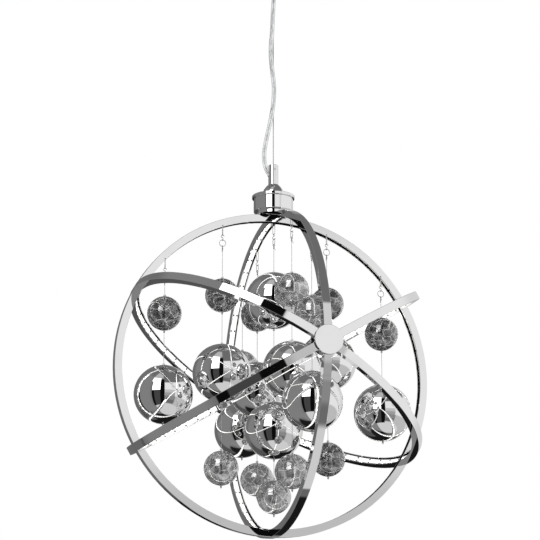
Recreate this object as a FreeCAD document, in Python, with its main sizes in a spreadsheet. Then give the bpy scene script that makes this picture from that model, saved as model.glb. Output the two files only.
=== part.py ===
"""Orb chandelier: four chromed bands in the shape of a sphere, hung from a ceiling cup by a
steel wire and a clear flex, with mirrored and smoked glass balls on thin wires inside the orb.

Millimetres, +Z up.  The origin is the centre of the ceiling face of the mounting bracket.
The orb's hub axis lies along Y, and its front hub faces -Y.  The level band stands in the XZ
plane, and the six half bands run from the front hub to the back hub, 60 degrees apart.
"""
import FreeCAD, Part
import math
import os
import Sketcher

Vector = FreeCAD.Vector
X_DIRECTION = Vector(1, 0, 0)
Y_DIRECTION = Vector(0, 1, 0)
Z_DIRECTION = Vector(0, 0, 1)

document = FreeCAD.newDocument("orb_chandelier")

# ---------------------------------------------------------------------------
# Driving dimensions, in millimetres and degrees
# ---------------------------------------------------------------------------

DRIVING_SIZES = {
    # the orb
    "orb_radius": 240.0,            # outer face of every band
    "orb_drop": 660.0,              # ceiling to the centre of the orb
    "band_width": 12.0,
    "band_depth": 11.0,
    "band_chamfer": 0.4,
    "groove_width": 9.2,            # channel for the light strip, in the inner face
    "groove_depth": 4.5,
    "strip_width": 8.8,
    "strip_thickness": 0.8,
    "strip_tape": 0.1,              # adhesive between strip and groove
    "lap_depth": 4.5,               # share of a crossing that the half bands take
    "lap_clearance": 0.1,
    "band_count": 6,                # half bands round the hub axis
    # the hubs
    "hub_disc_radius": 20.7,
    "hub_disc_thickness": 3.2,
    "hub_boss_margin": 1.0,         # boss beyond the circle where the half bands' edges meet
    "hub_screw_radius": 2.0,
    "arm_screw_radius": 1.25,
    "arm_screw_from_boss": 3.5,
    "arm_screw_length": 8.5,
    "hub_screw_length": 9.0,
    # the carrier cup on top of the orb
    "base_radius": 25.0,
    "base_thickness": 5.0,
    "cup_radius": 29.5,
    "cup_height": 20.5,
    "cup_wall": 1.2,
    "cup_floor": 2.0,
    "lid_overhang": 2.5,            # lid beyond the cup
    "lid_thickness": 4.6,
    "lid_collar_depth": 5.0,
    "dome_base_radius": 17.5,
    "dome_top_radius": 8.1,
    "dome_height": 17.4,
    "dome_wall": 1.5,
    "nipple_radius": 5.0,
    "nipple_bore_radius": 3.6,
    "nipple_length": 38.0,
    "nipple_top_in_tube": 3.4,
    "thread_clearance": 0.1,
    "nut_across_corners": 17.0,
    "nut_thickness": 4.0,
    "tube_radius": 7.5,
    "tube_length": 31.0,
    "tube_roof": 4.0,
    "side_hole_radius": 3.6,
    "grub_screw_radius": 1.5,
    "base_screw_radius": 1.5,
    "base_screw_head_radius": 2.7,
    "base_screw_head_height": 1.6,
    "base_screw_length": 10.5,
    "base_screw_circle": 16.0,
    "connector_length": 16.0,
    "connector_width": 10.0,
    "connector_from_axis": 6.5,
    "lead_hole_radius": 2.0,
    "connector_height": 7.0,
    # suspension
    "wire_radius": 0.75,
    "ball_head_radius": 3.0,
    "socket_clearance": 0.05,
    "ferrule_radius": 2.2,
    "ferrule_length": 7.0,
    "flex_radius": 3.2,
    # the ceiling cup
    "canopy_radius": 62.0,
    "canopy_height": 45.0,
    "canopy_wall": 1.2,
    "canopy_corner": 4.0,
    "bracket_width": 24.0,
    "bracket_thickness": 2.0,
    "bracket_slot_spacing": 84.0,
    "bracket_slot_length": 10.0,
    "bracket_slot_radius": 2.25,
    "bracket_ear_height": 14.0,
    "bracket_clearance": 0.3,
    "canopy_screw_radius": 2.0,
    "canopy_screw_head_radius": 3.6,
    "canopy_screw_head_height": 2.2,
    "canopy_screw_length": 7.0,
    "grip_radius": 8.0,
    "grip_height": 7.0,
    "grip_stem_radius": 5.0,
    "grip_stem_height": 9.0,
    "grommet_offset": 16.0,
    "grommet_direction": -98.0,     # where the flex leaves the cup, from +X
    "grommet_radius": 6.0,
    "grommet_bore_radius": 4.3,
    "grommet_flange": 1.5,
    "driver_length": 72.0,
    "driver_width": 34.0,
    "driver_height": 22.0,
    "driver_corner": 2.0,
    "terminal_length": 18.0,
    "terminal_width": 20.0,
    "terminal_height": 10.0,
    # the glass and its hangers
    "large_ball_radius": 42.5,
    "small_ball_radius": 25.0,
    "glass_wall": 1.5,
    "ball_hole_radius": 1.2,
    "hanging_wire_radius": 0.4,
    "hook_wire_radius": 0.45,
    "hook_hole_radius": 0.9,
    "hook_hole_inset": 1.6,
    "hook_length": 15.0,
    "hook_play": 0.45,              # between a hook and the faces of the wall it hangs in
    "twist_radius": 2.2,           # each ring of the quarter-twist link
    "link_radius": 4.9,
    "eye_radius": 1.4,
    "link_play": 0.1,
    "crimp_radius": 1.5,
    "crimp_length": 3.2,
    "crimp_clearance": 0.02,
}


class Size:
    """A dimension: its value, and the sheet expression that gives it."""

    def __init__(self, value, text):
        self.value = float(value)
        self.text = text

    @staticmethod
    def of(number):
        if isinstance(number, Size):
            return number
        return Size(number, "(%r)" % float(number))

    def __add__(self, other):
        other = Size.of(other)
        return Size(self.value + other.value, "(%s + %s)" % (self.text, other.text))

    def __sub__(self, other):
        other = Size.of(other)
        return Size(self.value - other.value, "(%s - %s)" % (self.text, other.text))

    def __mul__(self, other):
        other = Size.of(other)
        return Size(self.value * other.value, "(%s * %s)" % (self.text, other.text))

    def __truediv__(self, other):
        other = Size.of(other)
        return Size(self.value / other.value, "(%s / %s)" % (self.text, other.text))

    def __neg__(self):
        return Size(-self.value, "(-1 * %s)" % self.text)

    def __radd__(self, other):
        return Size.of(other) + self

    def __rsub__(self, other):
        return Size.of(other) - self

    def __rmul__(self, other):
        return Size.of(other) * self

    def arc_sine(self):
        value = math.degrees(math.asin(self.value))
        return Size(value, "(asin(%s) / 1 deg)" % self.text)

    def root_with(self, other):
        """The other leg of a right triangle whose long side is this size."""
        value = math.sqrt(self.value ** 2 - other.value ** 2)
        return Size(value, "sqrt(%s ^ 2 - %s ^ 2)" % (self.text, other.text))


def fill_sheet():
    sheet = document.addObject("Spreadsheet::Sheet", "Sizes")
    sizes = {}
    for row, (alias, value) in enumerate(DRIVING_SIZES.items(), start=1):
        sheet.set("A%d" % row, alias)
        sheet.set("B%d" % row, repr(value))
        sheet.setAlias("B%d" % row, alias)
        sizes[alias] = Size(value, "Sizes." + alias)
    document.recompute()
    return sizes


SIZES = fill_sheet()


def size(alias):
    return SIZES[alias]


# ---------------------------------------------------------------------------
# Ways of making a piece
# ---------------------------------------------------------------------------

ZERO = Size.of(0)


def add(kind, label):
    piece = document.addObject(kind, label)
    piece.Label = label
    return piece


def bind(piece, **properties):
    """Set each property to a size and keep it bound to the sheet."""
    for name, value in properties.items():
        value = Size.of(value)
        setattr(piece, name, value.value)
        piece.setExpression(name, value.text)


def place(piece, x=ZERO, y=ZERO, z=ZERO, rotation=None):
    """Put a piece at sheet-bound coordinates, with a fixed rotation."""
    coordinates = [Size.of(value) for value in (x, y, z)]
    position = Vector(*[value.value for value in coordinates])
    piece.Placement = FreeCAD.Placement(position, rotation or FreeCAD.Rotation())
    for letter, value in zip("xyz", coordinates):
        piece.setExpression("Placement.Base." + letter, value.text)
    return piece


def turned_about(direction, degrees):
    return FreeCAD.Rotation(direction, degrees)


ALONG_X = turned_about(Y_DIRECTION, 90)
ALONG_Y = turned_about(X_DIRECTION, -90)
ALONG_MINUS_Y = turned_about(X_DIRECTION, 90)


def profile(body, plane, points):
    """A closed outline of straight edges on one of the body's own planes."""
    origin_plane = [item for item in body.Origin.OriginFeatures if item.Role == plane][0]
    sketch = body.newObject("Sketcher::SketchObject", body.Label + "_outline")
    sketch.AttachmentSupport = (origin_plane, [""])
    sketch.MapMode = "FlatFace"
    corners = [(Size.of(across), Size.of(up)) for across, up in points]
    count = len(corners)
    for index in range(count):
        start, end = corners[index], corners[(index + 1) % count]
        edge = Part.LineSegment(Vector(start[0].value, start[1].value, 0),
                                Vector(end[0].value, end[1].value, 0))
        sketch.addGeometry(edge, False)
    for index in range(count):
        sketch.addConstraint(Sketcher.Constraint("Coincident", index, 2, (index + 1) % count, 1))
    for index, corner in enumerate(corners):
        for kind, axis, value in (("DistanceX", -2, corner[0]), ("DistanceY", -1, corner[1])):
            if abs(value.value) < 1e-9:
                sketch.addConstraint(Sketcher.Constraint("PointOnObject", index, 1, axis))
                continue
            number = sketch.addConstraint(
                Sketcher.Constraint(kind, -1, 1, index, 1, value.value))
            sketch.setExpression("Constraints[%d]" % number, value.text)
    return sketch


def turned_piece(label, points, plane="XZ_Plane", axis="V_Axis", sweep=360):
    """A body of revolution: its outline turned about one axis of the sketch."""
    body = add("PartDesign::Body", label)
    sketch = profile(body, plane, points)
    turn = body.newObject("PartDesign::Revolution", label + "_turn")
    turn.Profile = sketch
    turn.ReferenceAxis = (sketch, [axis])
    bind(turn, Angle=sweep)
    return body


def padded_piece(label, points, length, plane="XZ_Plane"):
    """A body of even thickness, centred on its sketch plane."""
    body = add("PartDesign::Body", label)
    sketch = profile(body, plane, points)
    pad = body.newObject("PartDesign::Pad", label + "_pad")
    pad.Profile = sketch
    bind(pad, Length=length)
    pad.Midplane = True
    return body


def cylinder(label, radius, height, x=ZERO, y=ZERO, z=ZERO, rotation=None):
    piece = add("Part::Cylinder", label)
    bind(piece, Radius=radius, Height=height)
    return place(piece, x, y, z, rotation)


def box(label, length, width, height, x=ZERO, y=ZERO, z=ZERO):
    """A block given by its sizes and the coordinates of its lowest corner."""
    piece = add("Part::Box", label)
    bind(piece, Length=length, Width=width, Height=height)
    return place(piece, x, y, z)


def together(label, pieces):
    """Several separate solids in one node."""
    group = add("Part::Compound", label)
    group.Links = pieces
    return group


def cut(label, base, tool):
    piece = add("Part::Cut", label)
    piece.Base = base
    piece.Tool = tool
    return piece


def cut_all(label, base, tools):
    return cut(label, base, together(label + "_tools", tools))


def joined(label, pieces):
    piece = add("Part::MultiFuse", label)
    piece.Shapes = pieces
    return piece


def solid_piece(label, shape, x=ZERO, y=ZERO, z=ZERO):
    piece = add("Part::Feature", label)
    piece.Shape = shape
    return place(piece, x, y, z)


NODES = []


def hand_in(piece, label=None):
    """Count a finished piece as a node."""
    if label:
        piece.Label = label
    NODES.append(piece)
    return piece


def lowered(piece):
    """Carry a piece that was made round the orb's centre down to its place."""
    return place(piece, z=-size("orb_drop"), rotation=piece.Placement.Rotation)


# ---------------------------------------------------------------------------
# The bands of the orb
# ---------------------------------------------------------------------------

ORB = size("orb_radius")
BAND_INNER = ORB - size("band_depth")
STRIP_FLOOR = BAND_INNER + size("groove_depth")
LAP_LEVEL = ORB - size("lap_depth")
HALF_WIDTH = size("band_width") / 2
LAP_SLACK = size("lap_clearance")
BAND_STEP = 360.0 / DRIVING_SIZES["band_count"]
# neighbouring half bands' edges meet this far from the hub's axis
BANDS_MEET = size("band_width") / (2 * math.sin(math.radians(BAND_STEP / 2)))
HUB_BOSS = BANDS_MEET + size("hub_boss_margin")
ARM_SCREW_CIRCLE = HUB_BOSS + size("arm_screw_from_boss")


def band_outline():
    """Section of a band: (radius, distance from its middle plane)."""
    bevel = size("band_chamfer")
    groove = size("groove_width") / 2
    one_side = [
        (ORB, HALF_WIDTH - bevel), (ORB - bevel, HALF_WIDTH),
        (BAND_INNER + bevel / 2, HALF_WIDTH), (BAND_INNER, HALF_WIDTH - bevel / 2),
        (BAND_INNER, groove), (STRIP_FLOOR, groove),
    ]
    other_side = [(radius, -across) for radius, across in reversed(one_side)]
    return one_side + other_side


def strip_outline():
    half = size("strip_width") / 2
    back = STRIP_FLOOR - size("strip_tape")
    face = back - size("strip_thickness")
    return [(back, half), (face, half), (face, -half), (back, -half)]


def lap_block(label, inner, outer, across, along, degrees):
    """A block that stands on the orb at an angle from the top, about the hub axis."""
    block = add("Part::Box", label)
    bind(block, Length=across, Width=along, Height=outer - inner)
    rotation = turned_about(Y_DIRECTION, degrees)
    corner = rotation.multVec(Vector(-across.value / 2, -along.value / 2, inner.value))
    block.Placement = FreeCAD.Placement(corner, rotation)
    return block


def hook_hole(strand):
    """The drilled hole in a band's side wall that a hook passes through."""
    x, y, z = anchor(strand)
    through = ALONG_Y if strand["band"] == "level" else ALONG_X
    length = size("band_width") / 2 - size("groove_width") / 2 + 1.0
    direction = through.multVec(Z_DIRECTION)
    start = Vector(x.value, y.value, z.value) - direction * (length.value / 2)
    hole = add("Part::Cylinder", strand["name"] + "_hole")
    bind(hole, Radius=size("hook_hole_radius"), Height=length)
    hole.Placement = FreeCAD.Placement(start, through)
    return hole


def level_band():
    """The whole band in the XZ plane.  Its outer half is notched for the six half bands."""
    ring = turned_piece("level_band_blank", band_outline(), plane="XY_Plane")
    notch_width = size("band_width") + LAP_SLACK * 2
    notches = [
        lap_block("level_band_notch_%d" % index, LAP_LEVEL - LAP_SLACK / 2, ORB + 2,
                  notch_width, size("band_width") + 4, index * BAND_STEP)
        for index in range(DRIVING_SIZES["band_count"])
    ]
    holes = [hook_hole(strand) for strand in STRANDS if strand["band"] == "level"]
    screw_holes = [base_screw_hole("level", side) for side in (-1, 1)]
    return cut_all("level_band", ring, notches + holes + screw_holes + [lead_hole("level")])


HALF_BANDS = {
    "top_half_band": 0, "upper_right_half_band": 1, "lower_right_half_band": 2,
    "bottom_half_band": 3, "lower_left_half_band": 4, "upper_left_half_band": 5,
}


def half_band(label, step):
    """Half a band from hub to hub, notched on the inside where it laps the level band."""
    arch = turned_piece(label + "_blank", band_outline_over_top(), plane="XY_Plane",
                        axis="H_Axis", sweep=180)
    notch = lap_block(label + "_notch", BAND_INNER - 2, LAP_LEVEL + LAP_SLACK / 2,
                      size("band_width") + 4, size("band_width") + LAP_SLACK * 2, 0)
    boss_gap = HUB_BOSS + LAP_SLACK
    hub_bore = cylinder(label + "_hub_bore", boss_gap, ORB * 2 + 4, y=-ORB - 2,
                        rotation=ALONG_Y)
    tools = [notch, hub_bore]
    if step == 0:
        tools += [hook_hole(strand) for strand in STRANDS if strand["band"] == "top"]
        tools += [base_screw_hole("top", side) for side in (-1, 1)] + [lead_hole("top")]
    tools += [arm_screw_hole(label, side) for side in (-1, 1)]
    band = cut_all(label, arch, tools)
    band.Placement = FreeCAD.Placement(Vector(), turned_about(Y_DIRECTION, step * BAND_STEP))
    return band


def band_outline_over_top():
    """The band's section for turning about X: (distance from its middle plane, radius)."""
    return [(across, radius) for radius, across in band_outline()]


def arm_screw_hole(label, side):
    """Where a hub screw enters the end of a half band, from inside the orb."""
    name = "%s_arm_screw_hole_%s" % (label, "front" if side < 0 else "back")
    depth = size("arm_screw_length") + 0.5
    plane = hub_seat()
    start = plane if side > 0 else -(plane + depth)
    return cylinder(name, size("arm_screw_radius") + 0.05, depth,
                    y=start, z=ARM_SCREW_CIRCLE, rotation=ALONG_Y)


def light_strip(label, first, last, step):
    """A stretch of light strip in a half band's groove, between two angles from the hub."""
    outline = [(across, radius) for radius, across in strip_outline()]
    strip = turned_piece(label, outline, plane="XY_Plane", axis="H_Axis", sweep=last - first)
    # the sketch plane turned through first lies at the strip's start
    about_x = turned_about(X_DIRECTION, first.value)
    about_hub = turned_about(Y_DIRECTION, step * BAND_STEP)
    strip.Placement = FreeCAD.Placement(Vector(), about_hub.multiply(about_x))
    return strip


def half_band_strips():
    """Two stretches per half band: hub to level band, and level band to hub."""
    at_hub = ((size("hub_disc_radius") + 0.5) / BAND_INNER).arc_sine()
    at_lap = 90 - ((HALF_WIDTH + 0.5) / BAND_INNER).arc_sine()
    stretches = []
    for name, step in HALF_BANDS.items():
        stem = name.replace("_half_band", "_light_strip")
        stretches.append(light_strip(stem + "_back", at_hub, at_lap, step))
        stretches.append(light_strip(stem + "_front", 180 - at_lap, 180 - at_hub, step))
    return together("half_band_light_strips", stretches)


def level_light_strip():
    return turned_piece("level_light_strip", strip_outline(), plane="XY_Plane")


# ---------------------------------------------------------------------------
# The hubs, front and back
# ---------------------------------------------------------------------------

def hub_seat():
    """Distance from the orb's centre to the inner end of a hub's boss."""
    return BAND_INNER - hub_sag()


def hub_sag():
    """How far the bands' inner faces fall away from the hub plane under a hub plate."""
    return BAND_INNER - BAND_INNER.root_with(size("hub_disc_radius")) + 0.05


def hub_cover(label, side):
    """Outer disc with the boss that the half bands' ends stand round."""
    disc, boss = size("hub_disc_radius"), HUB_BOSS
    thick, bevel = size("hub_disc_thickness"), 0.5
    bore = size("hub_screw_radius") + 0.05
    bore_end = hub_seat() + size("hub_screw_length") + 0.5
    cover = turned_piece(label, [
        (ZERO, ORB + thick), (disc - bevel, ORB + thick), (disc, ORB + thick - bevel),
        (disc, ORB), (boss, ORB), (boss, hub_seat()), (bore, hub_seat()), (bore, bore_end),
        (ZERO, bore_end),
    ])
    return facing(cover, side)


def hub_plate(label, side):
    """Inner disc that clamps the ends of the half bands, with plain screw holes."""
    disc, thick = size("hub_disc_radius"), size("hub_disc_thickness")
    bore = size("hub_screw_radius") + 0.1
    back = hub_seat() - thick
    plate = turned_piece(label + "_blank", [
        (bore, hub_seat()), (disc, hub_seat()), (disc, back), (bore, back),
    ])
    holes = []
    for index in range(DRIVING_SIZES["band_count"]):
        turn = math.radians(index * BAND_STEP + 90)
        hole = add("Part::Cylinder", "%s_hole_%d" % (label, index))
        bind(hole, Radius=size("arm_screw_radius") + 0.1, Height=thick + 2)
        reach = ARM_SCREW_CIRCLE.value
        hole.Placement = FreeCAD.Placement(
            Vector(reach * math.cos(turn), reach * math.sin(turn), back.value - 1),
            FreeCAD.Rotation())
        holes.append(hole)
    return facing(cut_all(label, plate, holes), side)


def facing(piece, side):
    """Turn a piece made along +Z to face along Y, to the front (-1) or the back (+1)."""
    piece.Placement = FreeCAD.Placement(Vector(), ALONG_MINUS_Y if side < 0 else ALONG_Y)
    return piece


def hub_pair(label, make):
    return together(label, [make(label + "_front", -1), make(label + "_back", 1)])


def hub_screw(label, radius, length, across, up, side):
    """A pan-head screw along Y, put in from inside the orb."""
    head_height = 1.2
    head_radius = radius * 1.8
    screw = turned_piece(label, [
        (ZERO, length), (radius, length), (radius, ZERO),
        (head_radius, ZERO), (head_radius, Size.of(-head_height)), (ZERO, Size.of(-head_height)),
    ])
    seat = hub_seat() - size("hub_disc_thickness")
    rotation = ALONG_MINUS_Y if side < 0 else ALONG_Y
    screw.Placement = FreeCAD.Placement(
        Vector(across, side * seat.value, up), rotation)
    return screw


def hub_screws():
    screws = []
    plate = size("hub_disc_thickness")
    for side, end in ((-1, "front"), (1, "back")):
        screws.append(hub_screw("hub_screw_%s" % end, size("hub_screw_radius"),
                                size("hub_screw_length") + plate, 0, 0, side))
        for index in range(DRIVING_SIZES["band_count"]):
            turn = math.radians(index * BAND_STEP)
            reach = ARM_SCREW_CIRCLE.value
            screws.append(hub_screw(
                "arm_screw_%s_%d" % (end, index), size("arm_screw_radius"),
                size("arm_screw_length") + plate,
                reach * math.sin(turn), reach * math.cos(turn), side))
    return together("hub_screws", screws)


# ---------------------------------------------------------------------------
# The carrier: base, cup, lid, dome, nipple and tube, from the orb upwards
# ---------------------------------------------------------------------------

BASE_TOP = ORB + size("base_thickness")
LID_SEAT = BASE_TOP + size("cup_height")
LID_TOP = LID_SEAT + size("lid_thickness")
DOME_TOP = LID_TOP + size("dome_height")
TUBE_TOP = DOME_TOP + size("tube_length")
NIPPLE_TOP = DOME_TOP + size("nipple_top_in_tube")
NIPPLE_BOTTOM = NIPPLE_TOP - size("nipple_length")
THREADED_HOLE = size("nipple_radius") + size("thread_clearance")


def base_screw_hole(band, side):
    name = "%s_base_screw_hole_%s" % (band, "low" if side < 0 else "high")
    reach = side * size("base_screw_circle")
    x, y = (reach, ZERO) if band == "level" else (ZERO, reach)
    depth = size("base_screw_length") - size("cup_floor") - size("base_thickness") + 0.5
    return cylinder(name, size("base_screw_radius") + 0.05, depth + 4,
                    x=x, y=y, z=ORB - depth)


def screw_places():
    reach = size("base_screw_circle")
    return [(reach, ZERO), (-reach, ZERO), (ZERO, reach), (ZERO, -reach)]


def cap_base():
    """Plate between the bands' crossing and the cup, with a hole for the leads."""
    plate = turned_piece("cap_base_blank", [
        (THREADED_HOLE, ORB), (size("base_radius"), ORB),
        (size("base_radius"), BASE_TOP), (THREADED_HOLE, BASE_TOP),
    ])
    holes = [cylinder("cap_base_hole_%d" % index, size("base_screw_radius") + 0.1,
                      size("base_thickness") + 2, x=x, y=y, z=ORB - 1)
             for index, (x, y) in enumerate(screw_places())]
    return cut_all("cap_base", plate, holes)


def cap_cup():
    outer, wall = size("cup_radius"), size("cup_wall")
    floor_top = BASE_TOP + size("cup_floor")
    bevel = 0.6
    cup = turned_piece("cap_cup_blank", [
        (THREADED_HOLE, BASE_TOP), (outer - bevel, BASE_TOP), (outer, BASE_TOP + bevel),
        (outer, LID_SEAT), (outer - wall, LID_SEAT), (outer - wall, floor_top),
        (THREADED_HOLE, floor_top),
    ])
    holes = [cylinder("cap_cup_hole_%d" % index, size("base_screw_radius") + 0.1,
                      size("cup_floor") + 2, x=x, y=y, z=BASE_TOP - 1)
             for index, (x, y) in enumerate(screw_places())]
    return cut_all("cap_cup", cup, holes)


def cap_lid():
    """Lid with a lip over the cup and a collar that screws down inside it."""
    rim, bevel = size("cup_radius") + size("lid_overhang"), 0.6
    collar = size("cup_radius") - size("cup_wall") - size("thread_clearance")
    collar_bottom = LID_SEAT - size("lid_collar_depth")
    return turned_piece("cap_lid", [
        (THREADED_HOLE, LID_TOP), (rim - bevel, LID_TOP), (rim, LID_TOP - bevel),
        (rim, LID_SEAT + bevel), (rim - bevel, LID_SEAT), (collar, LID_SEAT),
        (collar, collar_bottom), (collar - 1.6, collar_bottom), (collar - 1.6, LID_SEAT),
        (THREADED_HOLE, LID_SEAT),
    ])


# Outline of the dome, from its foot: shares of its height and of its change in radius.
DOME_CURVE = [(0.2, 0.07), (0.35, 0.16), (0.5, 0.28), (0.6, 0.38), (0.7, 0.51), (0.8, 0.65),
              (0.88, 0.78), (0.95, 0.91)]


def cap_dome():
    """Hollow rounded washer between the lid and the tube."""
    foot, top, wall = size("dome_base_radius"), size("dome_top_radius"), size("dome_wall")
    height = size("dome_height")
    roof = DOME_TOP - wall
    outside = [(foot - (foot - top) * inward, LID_TOP + height * up) for up, inward in DOME_CURVE]
    inside = [(foot - wall - (foot - top) * inward, LID_TOP + (height - wall) * up)
              for up, inward in DOME_CURVE]
    return turned_piece("cap_dome", [
        (THREADED_HOLE, DOME_TOP), (top, DOME_TOP), *reversed(outside), (foot, LID_TOP),
        (foot - wall, LID_TOP), *inside, (THREADED_HOLE + 0.6, roof), (THREADED_HOLE, roof),
    ])


def threaded_nipple():
    outer, bore = size("nipple_radius"), size("nipple_bore_radius")
    return turned_piece("threaded_nipple", [
        (bore, NIPPLE_TOP), (outer, NIPPLE_TOP), (outer, NIPPLE_BOTTOM), (bore, NIPPLE_BOTTOM),
    ])


def nipple_nut():
    """Hexagon nut inside the cup, against the underside of the lid."""
    blank = add("Part::Prism", "nipple_nut_blank")
    blank.Polygon = 6
    bind(blank, Circumradius=size("nut_across_corners") / 2, Height=size("nut_thickness"))
    place(blank, z=LID_SEAT - size("nut_thickness"))
    bore = cylinder("nipple_nut_bore", THREADED_HOLE, size("nut_thickness") + 2,
                    z=LID_SEAT - size("nut_thickness") - 1)
    return cut("nipple_nut", blank, bore)


def tube_coupler():
    """Tube over the nipple: roof hole for the wire, side hole for the flex, grub screw hole."""
    outer, roof = size("tube_radius"), size("tube_roof")
    wire_hole = size("wire_radius") + 0.15
    bevel = 0.4
    blank = turned_piece("tube_coupler_blank", [
        (wire_hole, TUBE_TOP), (outer - bevel, TUBE_TOP), (outer, TUBE_TOP - bevel),
        (outer, DOME_TOP), (THREADED_HOLE, DOME_TOP), (THREADED_HOLE, TUBE_TOP - roof),
        (wire_hole, TUBE_TOP - roof),
    ])
    grub = cylinder("tube_grub_hole", size("grub_screw_radius") + 0.05, size("tube_radius") + 1,
                    z=grub_height(), rotation=ALONG_MINUS_Y)
    slot = solid_piece("tube_flex_hole", flex_entry_shape(size("side_hole_radius").value))
    return cut_all("tube_coupler", blank, [grub, slot])


def grub_height():
    return TUBE_TOP - size("tube_roof") - size("ferrule_length") / 2 - 0.1


def coupler_grub_screw():
    """Headless screw that pinches the wire's ferrule."""
    reach = size("ferrule_radius")
    return cylinder("coupler_grub_screw", size("grub_screw_radius"),
                    size("tube_radius") - reach - 0.3, y=-reach - 0.02, z=grub_height(),
                    rotation=ALONG_MINUS_Y)


def base_screws():
    """Four screws from inside the cup, through floor and base, into the two top bands."""
    floor_top = BASE_TOP + size("cup_floor")
    screws = []
    for index, (x, y) in enumerate(screw_places()):
        radius, head = size("base_screw_radius"), size("base_screw_head_radius")
        screw = turned_piece("base_screw_%d" % index, [
            (ZERO, size("base_screw_head_height")), (head - 0.5, size("base_screw_head_height")),
            (head, size("base_screw_head_height") - 0.6), (head, ZERO), (radius, ZERO),
            (radius, -size("base_screw_length")), (ZERO, -size("base_screw_length")),
        ])
        screws.append(place(screw, x, y, floor_top))
    return together("base_screws", screws)


def lead_connector():
    """Block that joins the flex's cores to the light strips, on the cup's floor."""
    length, width = size("connector_length"), size("connector_width")
    left, near = -length - 3.4, size("connector_from_axis")
    seat = BASE_TOP + size("cup_floor")
    block = box("lead_connector_blank", length, width, size("connector_height"),
                x=left, y=near, z=seat)
    bores = [cylinder("lead_connector_bore_%d" % index, 1.2, width + 2,
                      x=left + length * share, y=near - 1,
                      z=seat + size("connector_height") / 2, rotation=ALONG_Y)
             for index, share in enumerate((0.3, 0.7))]
    return cut_all("lead_connector", block, bores)


def lead_hole(band):
    """Bore at the top crossing, through which the leads reach the light strip."""
    depth = size("band_depth") - size("groove_depth")
    return cylinder(band + "_lead_hole", size("lead_hole_radius"), depth + 2,
                    z=STRIP_FLOOR - 1)


# ---------------------------------------------------------------------------
# Suspension wire and clear flex
# ---------------------------------------------------------------------------

CANOPY_BOTTOM = size("orb_drop") - size("canopy_height")
PIVOT = CANOPY_BOTTOM - 2.0


def suspension_wire():
    """Steel wire from the ball head to the ferrule in the tube's roof."""
    top = PIVOT - size("ball_head_radius") - 0.05
    ferrule_top = TUBE_TOP - size("tube_roof") - 0.05
    ferrule_bottom = ferrule_top - size("ferrule_length")
    strand = size("wire_radius")
    wire = cylinder("suspension_wire_strand", strand, top - ferrule_bottom, z=ferrule_bottom)
    ferrule = turned_piece("suspension_wire_ferrule", [
        (strand + 0.01, ferrule_top), (size("ferrule_radius"), ferrule_top),
        (size("ferrule_radius"), ferrule_bottom), (strand + 0.01, ferrule_bottom),
    ])
    return together("suspension_wire", [wire, ferrule])


def wire_ball_head():
    head = add("Part::Sphere", "wire_ball_head")
    bind(head, Radius=size("ball_head_radius"))
    return place(head, z=PIVOT)


# The flex's route from inside the ceiling cup down to inside the tube.  It swings loosely
# round the wire, in front of it twice, and goes into the side of the tube.  Coordinates are
# measured from the centre of the orb.
FLEX_ROUTE = [
    (-2.2, -15.8, 619.5),
    (-2.2, -15.6, 604.0),
    (-2.4, -9.5, 583.0),
    (-3.0, -6.5, 556.0),
    (-4.6, -8.6, 528.0),
    (-7.0, -7.3, 499.0),
    (-5.2, -8.6, 470.0),
    (-1.0, -8.0, 442.0),
    (-2.2, -7.6, 413.0),
    (-6.2, -5.0, 386.0),
    (-11.6, -0.2, 357.0),
    (-14.2, 4.2, 334.0),
    (-11.0, 4.4, 314.5),
    (-5.4, 2.0, 303.5),
    (-1.3, 0.4, 296.0),
]


def rounded_path(route):
    """Straight runs joined by tangent arcs, each as large as its two runs allow."""
    points = [Vector(*point) for point in route]
    edges = []
    radii = []
    start = points[0]
    for before, corner, after in zip(points, points[1:], points[2:]):
        incoming = (corner - before).normalize()
        outgoing = (after - corner).normalize()
        shorter = min((corner - before).Length, (after - corner).Length)
        turn = incoming.getAngle(outgoing)
        setback = 0.45 * shorter
        radius = setback / math.tan(turn / 2)
        arc_start = corner - incoming * setback
        arc_end = corner + outgoing * setback
        inward = (outgoing - incoming).normalize()
        arc_middle = corner + inward * (radius / math.cos(turn / 2) - radius)
        edges.append(Part.LineSegment(start, arc_start).toShape())
        edges.append(Part.Arc(arc_start, arc_middle, arc_end).toShape())
        radii.append(radius)
        start = arc_end
    edges.append(Part.LineSegment(start, points[-1]).toShape())
    return Part.Wire(edges), radii


def tube_along(path, radius):
    first = path.Edges[0]
    direction = first.tangentAt(first.FirstParameter)
    section = Part.Wire(Part.Circle(first.Vertexes[0].Point, direction, radius).toShape())
    return path.makePipeShell([section], True, False)


def clear_flex():
    path, radii = rounded_path(FLEX_ROUTE)
    radius = size("flex_radius").value
    shape = tube_along(path, radius)
    expected = math.pi * radius ** 2 * path.Length
    print("flex: length %.1f mm, bend radii" % path.Length, [round(value, 1) for value in radii])
    print("flex: volume %.1f, section times length %.1f" % (shape.Volume, expected))
    if abs(shape.Volume / expected - 1) > 0.02:
        raise RuntimeError("the flex's volume does not match its section and length")
    return solid_piece("clear_flex", shape)


def flex_entry_shape(radius):
    """The slanting hole that the flex's last two runs need in the tube's side."""
    last, before, earlier = [Vector(*point) for point in reversed(FLEX_ROUTE[-3:])]
    pieces = []
    for start, end in ((before, earlier), (last, before)):
        direction = end - start
        pieces.append(Part.makeCylinder(radius, direction.Length, start, direction))
    corner = Part.makeSphere(radius, before)
    return pieces[0].fuse(pieces[1]).fuse(corner)


# ---------------------------------------------------------------------------
# The ceiling cup and what it holds, measured down from the ceiling
# ---------------------------------------------------------------------------

CANOPY = size("canopy_radius")
FLOOR = -size("canopy_height")
FLOOR_TOP = FLOOR + size("canopy_wall")
PIVOT_DEPTH = PIVOT - size("orb_drop")


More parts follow.
